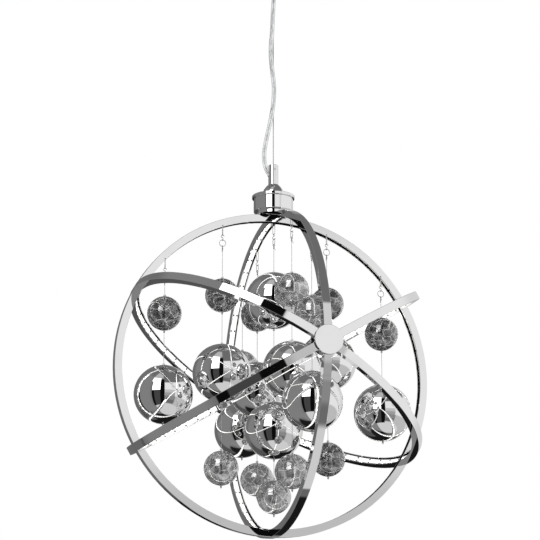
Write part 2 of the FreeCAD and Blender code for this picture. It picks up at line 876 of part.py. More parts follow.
def grommet_place():
    turn = math.radians(DRIVING_SIZES["grommet_direction"])
    reach = size("grommet_offset")
    return reach * math.cos(turn), reach * math.sin(turn)


def ear_reach():
    return CANOPY - size("canopy_wall") - size("bracket_clearance")


def canopy_screw_height():
    return -size("bracket_ear_height") / 2 - 1.5


def ceiling_bracket():
    """Steel strip with two slots for ceiling screws and an ear at each end for the cup."""
    thick, half, reach = size("bracket_thickness"), size("bracket_width") / 2, ear_reach()
    drop = -size("bracket_ear_height")
    strip = padded_piece("ceiling_bracket_blank", [
        (-reach, ZERO), (reach, ZERO), (reach, drop), (reach - thick, drop),
        (reach - thick, -thick), (thick - reach, -thick), (thick - reach, drop), (-reach, drop),
    ], size("bracket_width"))
    tools = []
    slot_half = size("bracket_slot_length") / 2 - size("bracket_slot_radius")
    for side, name in ((-1, "left"), (1, "right")):
        centre = side * size("bracket_slot_spacing") / 2
        for end in (-1, 1):
            tools.append(cylinder("bracket_slot_%s_%s" % (name, "inner" if end < 0 else "outer"),
                                  size("bracket_slot_radius"), thick + 2,
                                  x=centre + end * slot_half, z=-thick - 1))
        tools.append(box("bracket_slot_%s_middle" % name, slot_half * 2,
                         size("bracket_slot_radius") * 2, thick + 2, x=centre - slot_half,
                         y=-size("bracket_slot_radius"), z=-thick - 1))
    tools.append(cylinder("bracket_screw_bore", size("canopy_screw_radius") + 0.05, reach * 2 + 4,
                          x=-reach - 2, z=canopy_screw_height(), rotation=ALONG_X))
    rounded_end = add("Part::Cylinder", "bracket_end_round")
    bind(rounded_end, Radius=reach, Height=size("bracket_ear_height") + 2)
    place(rounded_end, z=drop - 1)
    trimmed = add("Part::Common", "bracket_trimmed")
    trimmed.Base = strip
    trimmed.Tool = rounded_end
    return cut_all("ceiling_bracket", trimmed, tools)


def canopy_cup():
    wall, corner = size("canopy_wall"), size("canopy_corner")
    grip_hole = size("grip_stem_radius") + 0.1
    cup = turned_piece("canopy_cup_blank", [
        (grip_hole, FLOOR), (CANOPY - corner, FLOOR), (CANOPY - corner * 0.3, FLOOR + corner * 0.3),
        (CANOPY, FLOOR + corner), (CANOPY, ZERO), (CANOPY - wall, ZERO),
        (CANOPY - wall, FLOOR + corner), (CANOPY - corner * 0.3 - wall * 0.7,
                                          FLOOR + corner * 0.3 + wall * 0.7),
        (CANOPY - corner, FLOOR_TOP), (grip_hole, FLOOR_TOP),
    ])
    x, y = grommet_place()
    flex_hole = cylinder("canopy_flex_hole", size("grommet_radius") - 1.2,
                         wall + 2, x=x, y=y, z=FLOOR - 1)
    screws = cylinder("canopy_screw_bore", size("canopy_screw_radius") + 0.1, CANOPY * 2 + 4,
                      x=-CANOPY - 2, z=canopy_screw_height(), rotation=ALONG_X)
    return cut_all("canopy_cup", cup, [flex_hole, screws])


def canopy_screws():
    """Two round-headed screws through the cup's wall into the bracket's ears."""
    screws = []
    shank, head = size("canopy_screw_radius"), size("canopy_screw_head_radius")
    rise = size("canopy_screw_head_height")
    for side, name in ((-1, "left"), (1, "right")):
        screw = turned_piece("canopy_screw_%s" % name, [
            (ZERO, rise), (head * 0.5, rise), (head * 0.85, rise * 0.7), (head, ZERO),
            (shank, ZERO), (shank, -size("canopy_screw_length")),
            (ZERO, -size("canopy_screw_length")),
        ])
        rotation = turned_about(Y_DIRECTION, 90 * side)
        screws.append(place(screw, x=side * (CANOPY + 0.05), z=canopy_screw_height(),
                            rotation=rotation))
    return together("canopy_screws", screws)


def wire_grip():
    """Turned boss under the cup with a ball seat for the wire and a stem for the nut."""
    body, stem = size("grip_radius"), size("grip_stem_radius")
    seat = size("ball_head_radius") + size("socket_clearance")
    bottom = FLOOR - size("grip_height")
    stem_top = FLOOR + size("grip_stem_height")
    throat = 1.7
    blank = turned_piece("wire_grip_blank", [
        (throat, bottom), (body - 1.5, bottom), (body, bottom + 1.5), (body, FLOOR),
        (stem, FLOOR), (stem, stem_top), (seat, stem_top), (seat, PIVOT_DEPTH),
        (throat, PIVOT_DEPTH),
    ])
    hollow = add("Part::Sphere", "wire_grip_seat")
    bind(hollow, Radius=seat)
    place(hollow, z=PIVOT_DEPTH)
    return cut("wire_grip", blank, hollow)


def grip_nut():
    """Hexagon nut that holds the grip from inside the cup."""
    blank = add("Part::Prism", "grip_nut_blank")
    blank.Polygon = 6
    bind(blank, Circumradius=size("nut_across_corners") / 2, Height=size("nut_thickness"))
    place(blank, z=FLOOR_TOP)
    bore = cylinder("grip_nut_bore", size("grip_stem_radius") + size("thread_clearance"),
                    size("nut_thickness") + 2, z=FLOOR_TOP - 1)
    return cut("grip_nut", blank, bore)


def flex_grommet():
    """Soft bush that lines the flex's hole in the cup's floor."""
    flange, lip = size("grommet_radius"), size("grommet_flange")
    bore, neck = size("grommet_bore_radius"), size("grommet_radius") - 1.25
    x, y = grommet_place()
    bush = turned_piece("flex_grommet", [
        (bore, FLOOR - lip), (flange - 0.5, FLOOR - lip), (flange, FLOOR - lip + 0.5),
        (flange, FLOOR), (neck, FLOOR), (neck, FLOOR_TOP), (flange, FLOOR_TOP),
        (flange, FLOOR_TOP + lip), (bore, FLOOR_TOP + lip),
    ])
    return place(bush, x=x, y=y)


def led_driver():
    """Power supply for the light strips, fixed under the bracket."""
    length, width, height = size("driver_length"), size("driver_width"), size("driver_height")
    left = -size("bracket_slot_spacing") / 2 + 4
    blank = box("led_driver_blank", length, width, height,
                x=left, y=-width / 2, z=-size("bracket_thickness") - height)
    case = add("Part::Fillet", "led_driver")
    case.Base = blank
    document.recompute()
    corner = min(size("driver_corner").value, height.value / 4)
    case.Edges = [(number, corner, corner) for number in range(1, len(blank.Shape.Edges) + 1)]
    return case


def terminal_block():
    """Mains terminal block beside the driver."""
    length, width = size("terminal_length"), size("terminal_width")
    left = -size("bracket_slot_spacing") / 2 + 4 + size("driver_length") + 1
    top = -size("bracket_thickness")
    block = box("terminal_block_blank", length, width, size("terminal_height"),
                x=left, y=-width / 2, z=top - size("terminal_height"))
    bores = [cylinder("terminal_bore_%d" % index, 1.8, length + 2, x=left - 1,
                      y=width * share, z=top - size("terminal_height") / 2, rotation=ALONG_X)
             for index, share in enumerate((-0.32, 0.0, 0.32))]
    return cut_all("terminal_block", block, bores)


# ---------------------------------------------------------------------------
# Glass balls on their hanging wires
# ---------------------------------------------------------------------------

# Each strand hangs from a hole in a band's side wall: the level band's front wall, or the top
# half band's right wall.  reach is the distance of the hook from the orb's axis, along X on
# the level band and along Y on the top half band.  Heights are of the balls' centres.
STRANDS = [
    {"name": "left_end", "band": "level", "reach": -167.5, "large": [-42.5], "small": [76.6]},
    {"name": "left", "band": "level", "reach": -80.5, "large": [-5.7], "small": [110.1, -144.4]},
    {"name": "right", "band": "level", "reach": 82.0, "large": [20.9], "small": [109.0, -123.9]},
    {"name": "right_end", "band": "level", "reach": 168.0, "large": [-50.0], "small": [69.2]},
    {"name": "centre", "band": "top", "reach": 14.0, "large": [113.0, -81.8], "small": [-179.5]},
    {"name": "rear", "band": "top", "reach": 95.4, "large": [-7.0], "small": [109.1, -142.6]},
    {"name": "far_rear", "band": "top", "reach": 172.0, "large": [-55.2], "small": [43.7]},
    {"name": "front", "band": "top", "reach": -69.5, "large": [-8.8], "small": [109.9, -154.6]},
    {"name": "far_front", "band": "top", "reach": -157.0, "large": [-69.6], "small": [55.9]},
]


def anchor(strand):
    """Centre of the strand's hook hole, in the middle of the band's side wall."""
    hole_radius = BAND_INNER + size("hook_hole_inset")
    wall_middle = (HALF_WIDTH + size("groove_width") / 2) / 2
    reach = Size.of(strand["reach"])
    height = hole_radius.root_with(reach)
    if strand["band"] == "level":
        return reach, -wall_middle, height
    return wall_middle, reach, height


def hook_half_width():
    """Half the width of a hook that straddles the band's wall."""
    wall = HALF_WIDTH - size("groove_width") / 2
    return wall / 2 + size("hook_wire_radius") + size("hook_play")


def loop_shape(half_width, length, wire_radius):
    """A long closed loop of wire in the YZ plane, hanging from the origin."""
    low = half_width - length
    top_left, top_right = Vector(0, -half_width, -half_width), Vector(0, half_width, -half_width)
    low_left, low_right = Vector(0, -half_width, low), Vector(0, half_width, low)
    path = Part.Wire([
        Part.Arc(top_left, Vector(0, 0, 0), top_right).toShape(),
        Part.LineSegment(top_right, low_right).toShape(),
        Part.Arc(low_right, Vector(0, 0, -length), low_left).toShape(),
        Part.LineSegment(low_left, top_left).toShape(),
    ])
    section = Part.Wire(Part.Circle(top_left, Z_DIRECTION, wire_radius).toShape())
    return path.makePipeShell([section], True, False)


def wire_ring(label, radius, x, y, z, rotation):
    ring = add("Part::Torus", label)
    bind(ring, Radius1=radius, Radius2=size("hook_wire_radius"))
    return place(ring, x, y, z, rotation)


def strand_levels(strand):
    """Heights, down the strand, of its hook, twisted link, ring, eye and wire ends."""
    hook_top = anchor(strand)[2]
    touch = size("hook_wire_radius") * 2 + size("link_play")
    hook_bottom = hook_top - size("hook_length")
    twist_centre = hook_bottom + touch - size("twist_radius") * 2
    link_centre = twist_centre - size("twist_radius") * 2 + touch - size("link_radius")
    link_bottom = link_centre - size("link_radius")
    eye_centre = link_bottom + touch - size("eye_radius")
    wire_top = eye_centre - size("eye_radius") - size("hook_wire_radius")
    lowest = min([height - size("large_ball_radius").value for height in strand["large"]]
                 + [height - size("small_ball_radius").value for height in strand["small"]])
    wire_bottom = Size.of(lowest) - size("crimp_length") - 1.5
    return hook_top, twist_centre, link_centre, eye_centre, wire_top, wire_bottom


def crimp(label, x, y, top):
    """Sleeve squeezed on the wire."""
    bore = size("hanging_wire_radius") + size("crimp_clearance")
    outer, bevel = size("crimp_radius"), 0.3
    length = size("crimp_length")
    sleeve = turned_piece(label, [
        (bore, ZERO), (outer - bevel, ZERO), (outer, -bevel), (outer, bevel - length),
        (outer - bevel, -length), (bore, -length),
    ])
    return place(sleeve, x, y, top)


def balls_of(strand):
    """(radius, centre height) of every ball on the strand."""
    large = [(size("large_ball_radius"), height) for height in strand["large"]]
    small = [(size("small_ball_radius"), height) for height in strand["small"]]
    return large + small


def hanger(strand):
    """Hook, quarter-twist link, ring, wire with its eye, and one crimp under each ball."""
    name = strand["name"]
    x, y, _ = anchor(strand)
    hook_top, twist_centre, link_centre, eye_centre, wire_top, wire_bottom = strand_levels(strand)
    across_y = strand["band"] == "level"
    hook = solid_piece(name + "_hook", loop_shape(
        hook_half_width().value, size("hook_length").value,
        size("hook_wire_radius").value))
    turn = FreeCAD.Rotation() if across_y else turned_about(Z_DIRECTION, 90)
    place(hook, x, y, hook_top, turn)
    link_turn, eye_turn = (ALONG_Y, ALONG_X) if across_y else (ALONG_X, ALONG_Y)
    twist = joined(name + "_twist", [
        wire_ring(name + "_twist_top", size("twist_radius"), x, y,
                  twist_centre + size("twist_radius"), link_turn),
        wire_ring(name + "_twist_foot", size("twist_radius"), x, y,
                  twist_centre - size("twist_radius"), eye_turn),
    ])
    pieces = [
        hook,
        twist,
        wire_ring(name + "_link", size("link_radius"), x, y, link_centre, link_turn),
        wire_ring(name + "_eye", size("eye_radius"), x, y, eye_centre, eye_turn),
        cylinder(name + "_wire", size("hanging_wire_radius"), wire_top - wire_bottom,
                 x=x, y=y, z=wire_bottom),
        crimp(name + "_top_crimp", x, y, wire_top - 0.3),
    ]
    for index, (radius, height) in enumerate(balls_of(strand)):
        pieces.append(crimp("%s_crimp_%d" % (name, index), x, y,
                            Size.of(height) - radius - 0.05))
    return together(name + "_hanger", pieces)


def glass_ball(label, radius, x, y, height):
    """Blown glass shell with a hole at each pole for the wire."""
    outer = add("Part::Sphere", label + "_outside")
    bind(outer, Radius=radius)
    inner = add("Part::Sphere", label + "_inside")
    bind(inner, Radius=radius - size("glass_wall"))
    hole = cylinder(label + "_hole", size("ball_hole_radius"), radius * 2 + 2, z=-radius - 1)
    shell = cut_all(label, outer, [joined(label + "_hollow", [inner, hole])])
    return place(shell, x, y, height)


def ball_group(strand, kind):
    x, y, _ = anchor(strand)
    radius = size(kind + "_ball_radius")
    balls = [glass_ball("%s_%s_ball_%d" % (strand["name"], kind, index), radius, x, y, height)
             for index, height in enumerate(strand[kind])]
    label = "%s_%s_balls" % (strand["name"], "mirror" if kind == "large" else "small")
    return together(label, balls)


# ---------------------------------------------------------------------------
# The whole chandelier
# ---------------------------------------------------------------------------

def build_ceiling_cup():
    for make in (ceiling_bracket, canopy_cup, canopy_screws, wire_grip, grip_nut,
                 flex_grommet, led_driver, terminal_block):
        hand_in(make())


def build_suspension():
    for make in (wire_ball_head, suspension_wire, clear_flex, tube_coupler,
                 coupler_grub_screw, cap_dome, threaded_nipple, nipple_nut, cap_lid, cap_cup,
                 cap_base, base_screws, lead_connector):
        piece = hand_in(make())
        if piece.Label == "wire_ball_head":
            place(piece, z=PIVOT_DEPTH)
        elif piece.Label == "coupler_grub_screw":
            place(piece, y=-size("ferrule_radius") - 0.02, z=grub_height() - size("orb_drop"),
                  rotation=ALONG_MINUS_Y)
        else:
            lowered(piece)


def build_orb():
    lowered(hand_in(level_band()))
    for label, step in HALF_BANDS.items():
        lowered(hand_in(half_band(label, step)))
    lowered(hand_in(level_light_strip()))
    lowered(hand_in(half_band_strips()))
    lowered(hand_in(hub_pair("hub_covers", hub_cover)))
    lowered(hand_in(hub_pair("hub_plates", hub_plate)))
    lowered(hand_in(hub_screws()))


def build_strands():
    for strand in STRANDS:
        lowered(hand_in(hanger(strand)))
        lowered(hand_in(ball_group(strand, "large")))
        lowered(hand_in(ball_group(strand, "small")))


def check_pieces():
    document.recompute()
    for piece in document.Objects:
        for trouble in ("Invalid", "Error"):
            if trouble in piece.State:
                raise RuntimeError("%s is %s" % (piece.Label, piece.State))
    for piece in NODES:
        shape = piece.Shape
        if shape.isNull() or not shape.isValid() or shape.Volume <= 0 or not shape.Solids:
            raise RuntimeError("%s has no valid solid" % piece.Label)


def write_parts():
    os.makedirs("parts", exist_ok=True)
    for piece in NODES:
        piece.Shape.exportStep(os.path.join("parts", piece.Label + ".step"))
        print("%-26s %2d solids %10.1f mm3" % (piece.Label, len(piece.Shape.Solids),
                                              piece.Shape.Volume))


build_ceiling_cup()
build_suspension()
build_orb()
build_strands()
check_pieces()
write_parts()
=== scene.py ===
import math
from functools import partial

import bmesh
import bpy
from mathutils import Matrix, Vector


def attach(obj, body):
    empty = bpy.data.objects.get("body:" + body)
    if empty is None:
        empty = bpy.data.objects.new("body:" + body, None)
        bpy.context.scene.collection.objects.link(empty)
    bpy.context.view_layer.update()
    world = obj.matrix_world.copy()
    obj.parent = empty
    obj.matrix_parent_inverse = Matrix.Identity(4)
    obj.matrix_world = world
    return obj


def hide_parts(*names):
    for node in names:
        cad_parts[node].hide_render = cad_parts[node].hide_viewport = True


bl_info = {
    "name": "Orb chandelier",
    "version": (1, 0, 0),
    "blender": (4, 5, 0),
    "location": "View3D > Sidebar > Orb",
    "description": "Builds the looks of a hanging orb of light bands and glass balls",
    "category": "Add Mesh",
}

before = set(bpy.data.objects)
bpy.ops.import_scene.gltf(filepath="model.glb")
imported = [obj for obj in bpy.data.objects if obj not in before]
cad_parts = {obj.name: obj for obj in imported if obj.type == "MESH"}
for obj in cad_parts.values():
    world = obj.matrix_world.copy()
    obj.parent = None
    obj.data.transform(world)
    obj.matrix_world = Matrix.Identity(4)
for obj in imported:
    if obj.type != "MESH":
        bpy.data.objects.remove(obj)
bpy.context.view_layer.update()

MM = 0.001


# ---------------------------------------------------------------------------
# Sizes and colours that a user would change
# ---------------------------------------------------------------------------

def length(name, description, default):
    """A length that the panel shows."""
    return bpy.props.FloatProperty(name=name, description=description, default=default,
                                   min=0.0, unit="LENGTH", precision=5)


def colour(name, description, default):
    """A colour that the panel shows."""
    return bpy.props.FloatVectorProperty(name=name, description=description, default=default,
                                         size=3, min=0.0, max=1.0, subtype="COLOR")


class ORB_PG_sizes(bpy.types.PropertyGroup):
    orb_drop: length("Orb drop", "From the ceiling to the centre of the orb", 660 * MM)
    orb_radius: length("Orb radius", "Outer face of the bands", 240 * MM)
    band_width: length("Band width", "Width of a band", 12 * MM)
    band_depth: length("Band depth", "Depth of a band along the orb's radius", 11 * MM)
    channel_width: length("Channel width", "Width of the light channel", 9.2 * MM)
    strip_width: length("Strip width", "Width of the light strip", 8.8 * MM)
    strip_face: length("Strip face", "Radius of the light strip's face", 232.6 * MM)
    chip_pitch: length("Chip pitch", "Distance between light chips", 12.5 * MM)
    large_ball: length("Large ball", "Radius of the mirrored balls", 42.5 * MM)
    small_ball: length("Small ball", "Radius of the small balls", 25 * MM)
    glass_wall: length("Glass wall", "Thickness of the blown glass", 1.5 * MM)
    hanging_wire: length("Hanging wire", "Radius of a strand's wire", 0.4 * MM)
    hook_wire: length("Hook wire", "Radius of the hooks' wire", 0.45 * MM)
    flex: length("Flex", "Radius of the clear flex", 3.2 * MM)
    flex_core: length("Flex core", "Radius of one core in the flex", 0.6 * MM)
    suspension_wire: length("Suspension wire", "Radius of the steel wire", 0.75 * MM)


class ORB_PG_colours(bpy.types.PropertyGroup):
    chrome: colour("Chrome", "Polished chrome plate", (0.87, 0.87, 0.87))
    silvering: colour("Silvering", "Mirrored glass", (0.88, 0.88, 0.88))
    smoke: colour("Smoke", "Tint of the smoked glass", (0.18, 0.18, 0.18))
    clear: colour("Clear", "Tint of the clear glass", (0.50, 0.50, 0.50))
    light: colour("Light", "Light of the strips", (1.0, 0.985, 0.96))
    steel: colour("Steel", "Bright steel wire", (0.50, 0.50, 0.50))
    sheath: colour("Sheath", "Clear sheath of the flex", (0.93, 0.94, 0.95))
    plastic: colour("Plastic", "White moulded cases", (0.86, 0.86, 0.84))
    floor: colour("Floor", "Pale floor", (0.90, 0.90, 0.90))


def sizes():
    return bpy.context.scene.orb_sizes


def colours():
    return bpy.context.scene.orb_colours


# ---------------------------------------------------------------------------
# Shader nodes
# ---------------------------------------------------------------------------

# Texture scales that all materials of a group share.
FINE_MARKS_SCALE = 900.0
PATCHES_SCALE = 60.0
CLOUDS_SCALE = 70.0
GLINT_SPECKS_SCALE = 150.0

GLINT_ROUGHNESS = 0.02
BUMP_DISTANCE = 0.2 * MM


def new_group(name, inputs, outputs):
    """A node group with named float or colour sockets and their defaults."""
    group = bpy.data.node_groups.new(name, "ShaderNodeTree")
    for socket, kind, default in inputs:
        item = group.interface.new_socket(socket, in_out="INPUT", socket_type=kind)
        item.default_value = default
    for socket, kind in outputs:
        group.interface.new_socket(socket, in_out="OUTPUT", socket_type=kind)
    return group, group.nodes.new("NodeGroupInput"), group.nodes.new("NodeGroupOutput")


def noise(tree, vector, scale, detail):
    """A noise texture; scale may be a number or a socket."""
    node = tree.nodes.new("ShaderNodeTexNoise")
    node.inputs["Detail"].default_value = detail
    tree.links.new(vector, node.inputs["Vector"])
    if isinstance(scale, (int, float)):
        node.inputs["Scale"].default_value = scale
    else:
        tree.links.new(scale, node.inputs["Scale"])
    return node.outputs["Fac"]


def ranged(tree, value, low, high, to_low=0.0, to_high=1.0):
    """A socket's value taken smoothly from one range of numbers to another."""
    node = tree.nodes.new("ShaderNodeMapRange")
    node.interpolation_type = "SMOOTHSTEP"
    tree.links.new(value, node.inputs["Value"])
    for socket, number in (("From Min", low), ("From Max", high),
                           ("To Min", to_low), ("To Max", to_high)):
        node.inputs[socket].default_value = number
    return node.outputs["Result"]


def maths(tree, operation, first, second=0.0):
    """The result of a maths node on one or two numbers or sockets."""
    node = tree.nodes.new("ShaderNodeMath")
    node.operation = operation
    for socket, given in zip(node.inputs, (first, second)):
        if isinstance(given, (int, float)):
            socket.default_value = given
        else:
            tree.links.new(given, socket)
    return node.outputs["Value"]


def grey(tree, level):
    """A colour with the same level in each channel."""
    node = tree.nodes.new("ShaderNodeCombineColor")
    for channel in ("Red", "Green", "Blue"):
        tree.links.new(level, node.inputs[channel])
    return node.outputs["Color"]


def polish_group():
    """Wipe marks and faint unevenness that every polished surface shows."""
    group, given, result = new_group("polish_marks", [
        ("Colour", "NodeSocketColor", (0.8, 0.8, 0.8, 1.0)),
        ("Haze", "NodeSocketFloat", 0.03),
        ("Wave", "NodeSocketFloat", 0.02),
        ("Scale", "NodeSocketFloat", 30.0),
    ], [("Colour", "NodeSocketColor"), ("Roughness", "NodeSocketFloat"),
        ("Height", "NodeSocketFloat")])
    place = group.nodes.new("ShaderNodeTexCoord").outputs["Object"]
    smears = ranged(group, noise(group, place, given.outputs["Scale"], 5.0), 0.45, 0.75)
    fine = noise(group, place, FINE_MARKS_SCALE, 2.0)
    tone = group.nodes.new("ShaderNodeMix")
    tone.data_type = "RGBA"
    tone.blend_type = "MULTIPLY"
    tone.inputs["Factor"].default_value = 1.0
    shade = grey(group, ranged(group, smears, 0.0, 1.0, 1.0, 0.965))
    group.links.new(given.outputs["Colour"], tone.inputs["A"])
    group.links.new(shade, tone.inputs["B"])
    rough = maths(group, "MULTIPLY", ranged(group, smears, 0.0, 1.0, 0.6, 1.6),
                  given.outputs["Haze"])
    height = maths(group, "MULTIPLY", maths(group, "ADD", smears, fine), given.outputs["Wave"])
    group.links.new(tone.outputs["Result"], result.inputs["Colour"])
    group.links.new(rough, result.inputs["Roughness"])
    group.links.new(height, result.inputs["Height"])
    return group


def grain_group():
    """Fine pitting and tone changes of moulded or drawn surfaces."""
    group, given, result = new_group("moulded_grain", [
        ("Colour", "NodeSocketColor", (0.8, 0.8, 0.8, 1.0)),
        ("Roughness", "NodeSocketFloat", 0.5),
        ("Scale", "NodeSocketFloat", 1200.0),
    ], [("Colour", "NodeSocketColor"), ("Roughness", "NodeSocketFloat"),
        ("Height", "NodeSocketFloat")])
    place = group.nodes.new("ShaderNodeTexCoord").outputs["Object"]
    grain = noise(group, place, given.outputs["Scale"], 4.0)
    patches = noise(group, place, PATCHES_SCALE, 2.0)
    tone = group.nodes.new("ShaderNodeHueSaturation")
    group.links.new(given.outputs["Colour"], tone.inputs["Color"])
    group.links.new(ranged(group, patches, 0.3, 0.7, 0.93, 1.04), tone.inputs["Value"])
    rough = maths(group, "MULTIPLY", ranged(group, grain, 0.3, 0.7, 0.85, 1.15),
                  given.outputs["Roughness"])
    group.links.new(tone.outputs["Color"], result.inputs["Colour"])
    group.links.new(rough, result.inputs["Roughness"])
    group.links.new(grain, result.inputs["Height"])
    return group


def mottled_tint_and_glints_group():
    """Uneven tint of blown glass, with painted glints: fine white lines and specks that stand in
    for reflections of the lit strips and bands.
    """
    group, given, result = new_group("mottled_glass_painted_glints", [
        ("Colour", "NodeSocketColor", (0.5, 0.5, 0.5, 1.0)),
        ("Glint", "NodeSocketFloat", 0.9),
        ("Scale", "NodeSocketFloat", 260.0),
    ], [("Colour", "NodeSocketColor"), ("Roughness", "NodeSocketFloat"),
        ("Height", "NodeSocketFloat")])
    place = group.nodes.new("ShaderNodeTexCoord").outputs["Object"]
    clouds = noise(group, place, CLOUDS_SCALE, 1.0)
    glint_lines = group.nodes.new("ShaderNodeTexVoronoi")
    glint_lines.feature = "DISTANCE_TO_EDGE"
    glint_specks = group.nodes.new("ShaderNodeTexVoronoi")
    for cells in (glint_lines, glint_specks):
        group.links.new(place, cells.inputs["Vector"])
    group.links.new(given.outputs["Scale"], glint_lines.inputs["Scale"])
    glint_specks.inputs["Scale"].default_value = GLINT_SPECKS_SCALE
    # painted glints: white lines and specks mixed into the glass's colour
    painted_glints = maths(group, "MAXIMUM",
                   ranged(group, glint_lines.outputs["Distance"], 0.02, 0.06, 1.0, 0.0),
                   ranged(group, glint_specks.outputs["Distance"], 0.11, 0.17, 1.0, 0.0))
    tone = group.nodes.new("ShaderNodeHueSaturation")
    group.links.new(given.outputs["Colour"], tone.inputs["Color"])
    group.links.new(ranged(group, clouds, 0.35, 0.65, 0.75, 1.35), tone.inputs["Value"])
    mix = group.nodes.new("ShaderNodeMix")
    mix.data_type = "RGBA"
    group.links.new(painted_glints, mix.inputs["Factor"])
    group.links.new(tone.outputs["Color"], mix.inputs["A"])
    group.links.new(grey(group, given.outputs["Glint"]), mix.inputs["B"])
    group.links.new(mix.outputs["Result"], result.inputs["Colour"])
    group.links.new(maths(group, "MULTIPLY", painted_glints, GLINT_ROUGHNESS),
                    result.inputs["Roughness"])
    group.links.new(painted_glints, result.inputs["Height"])
    return group


GROUPS = {}


def shared_group(name):
    if name not in GROUPS:
        GROUPS[name] = {"polish": polish_group, "grain": grain_group,
                        "tint_and_glints": mottled_tint_and_glints_group}[name]()
    return GROUPS[name]


def surface(name, base, group, values, bump, **settings):
    """A Principled material whose colour, roughness and bump come from a shared group."""
    material = bpy.data.materials.new(name)
    material.use_nodes = True
    tree = material.node_tree
    shader = tree.nodes["Principled BSDF"]
    for socket, value in settings.items():
        shader.inputs[socket.replace("_", " ")].default_value = value
    marks = tree.nodes.new("ShaderNodeGroup")
    marks.node_tree = shared_group(group)
    marks.inputs["Colour"].default_value = (*base, 1.0)
    for socket, value in values.items():
        marks.inputs[socket].default_value = value
    tree.links.new(marks.outputs["Colour"], shader.inputs["Base Color"])
    tree.links.new(marks.outputs["Roughness"], shader.inputs["Roughness"])
    relief = tree.nodes.new("ShaderNodeBump")
    relief.inputs["Strength"].default_value = bump
    relief.inputs["Distance"].default_value = BUMP_DISTANCE
    tree.links.new(marks.outputs["Height"], relief.inputs["Height"])
    tree.links.new(relief.outputs["Normal"], shader.inputs["Normal"])
    material.diffuse_color = (*base, 1.0)
    return material


def painted_rim_light_and_shade(material, tone, start, end):
    """Paints a colour into a clear material towards its outline: painted shade where it darkens
    there, painted highlight where it lightens.
    """
    tree = material.node_tree
    shader = tree.nodes["Principled BSDF"]
    rim = tree.nodes.new("ShaderNodeLayerWeight")
    rim.inputs["Blend"].default_value = 0.5
    blend = tree.nodes.new("ShaderNodeMix")
    blend.data_type = "RGBA"
    tree.links.new(ranged(tree, rim.outputs["Facing"], start, end), blend.inputs["Factor"])
    tree.links.new(shader.inputs["Base Color"].links[0].from_socket, blend.inputs["A"])
    blend.inputs["B"].default_value = tone
    tree.links.new(blend.outputs["Result"], shader.inputs["Base Color"])


def make_materials():
    tint = colours()
    light = (*tint.light, 1.0)
    polished = {"Haze": 0.03, "Wave": 0.02, "Scale": 25.0}
    finishes = {
        "chrome": surface("polished_chrome", tint.chrome, "polish", polished, 0.008, Metallic=1.0),
        "mirror_glass": surface("silvered_glass", tint.silvering, "polish",
                                {"Haze": 0.012, "Wave": 0.01, "Scale": 45.0}, 0.01,
                                Metallic=1.0, Coat_Weight=0.6, Coat_Roughness=0.02),
        # the small balls' glass carries the painted glints of the shared group
        "smoked_glass": surface("smoked_glass", tint.smoke, "tint_and_glints",
                                {"Glint": 1.0, "Scale": 75.0}, 0.1, Metallic=0.15,
                                Transmission_Weight=1.0, IOR=1.5,
                                Coat_Weight=1.0, Coat_Roughness=0.01, Coat_IOR=1.8),
        "clear_glass": surface("clear_glass", tint.clear, "tint_and_glints",
                               {"Glint": 1.0, "Scale": 75.0}, 0.1, Metallic=0.3,
                               Transmission_Weight=1.0, IOR=1.5,
                               Coat_Weight=1.0, Coat_Roughness=0.01, Coat_IOR=1.6),
        "steel_wire": surface("bright_wire", tint.steel, "grain",
                              {"Roughness": 0.28, "Scale": 2500.0}, 0.05, Metallic=1.0),
        "zinc_steel": surface("zinc_plate", (0.66, 0.67, 0.68), "grain",
                              {"Roughness": 0.34, "Scale": 900.0}, 0.10, Metallic=1.0),
        "white_plastic": surface("white_case", tint.plastic, "grain",
                                 {"Roughness": 0.5, "Scale": 1400.0}, 0.12),
        "clear_bush": surface("soft_bush", (0.72, 0.73, 0.74), "grain",
                              {"Roughness": 0.45, "Scale": 700.0}, 0.08),
        "glass_bead": surface("white_bead", (0.88, 0.88, 0.88), "grain",
                              {"Roughness": 0.18, "Scale": 400.0}, 0.03),
        # painted glow: the strip's board emits light, standing in for the glare of its chips
        "strip_base_painted_glow": surface("light_strip_board_painted_glow", (0.93, 0.93, 0.92), "grain",
                              {"Roughness": 0.4, "Scale": 500.0}, 0.05,
                              Emission_Color=light, Emission_Strength=0.85),
        "light_chip": surface("light_chip", (1.0, 0.98, 0.94), "grain",
                              {"Roughness": 0.25, "Scale": 500.0}, 0.02,
                              Emission_Color=light, Emission_Strength=3.5),
        # painted shade: a black, unreflecting sheet along the channel's walls, where the channel's
        # inside looks dark
        "channel_painted_shade": surface("channel_painted_shade", (0.004, 0.004, 0.004), "grain",
                                  {"Roughness": 0.9, "Scale": 800.0}, 0.05,
                                  Specular_IOR_Level=0.0),
        "solder_pad": surface("solder_pad", (0.05, 0.05, 0.05), "grain",
                              {"Roughness": 0.35, "Scale": 900.0}, 0.05),
        "flex_sheath": surface("clear_sheath", tint.sheath, "grain",
                               {"Roughness": 0.02, "Scale": 300.0}, 0.004,
                               Transmission_Weight=1.0, IOR=1.38),
        "flex_core": surface("tinned_core", (0.86, 0.86, 0.86), "grain",
                             {"Roughness": 0.4, "Scale": 2600.0}, 0.05),
    }
    # painted shade: the clear flex darkens towards its outline
    painted_rim_light_and_shade(finishes["flex_sheath"], (0.12, 0.12, 0.12, 1.0), 0.15, 0.65)
    # painted highlight: the clear balls whiten towards their outline
    painted_rim_light_and_shade(finishes["clear_glass"], (1.0, 1.0, 1.0, 1.0), 0.5, 0.7)
    # painted highlight: the smoked balls lighten towards their outline
    painted_rim_light_and_shade(finishes["smoked_glass"], (0.8, 0.8, 0.8, 1.0), 0.6, 0.8)
    return finishes


MATERIALS = {}


def material(name):
    if not MATERIALS:
        MATERIALS.update(make_materials())
    return MATERIALS[name]


# ---------------------------------------------------------------------------
# Mesh helpers
# ---------------------------------------------------------------------------

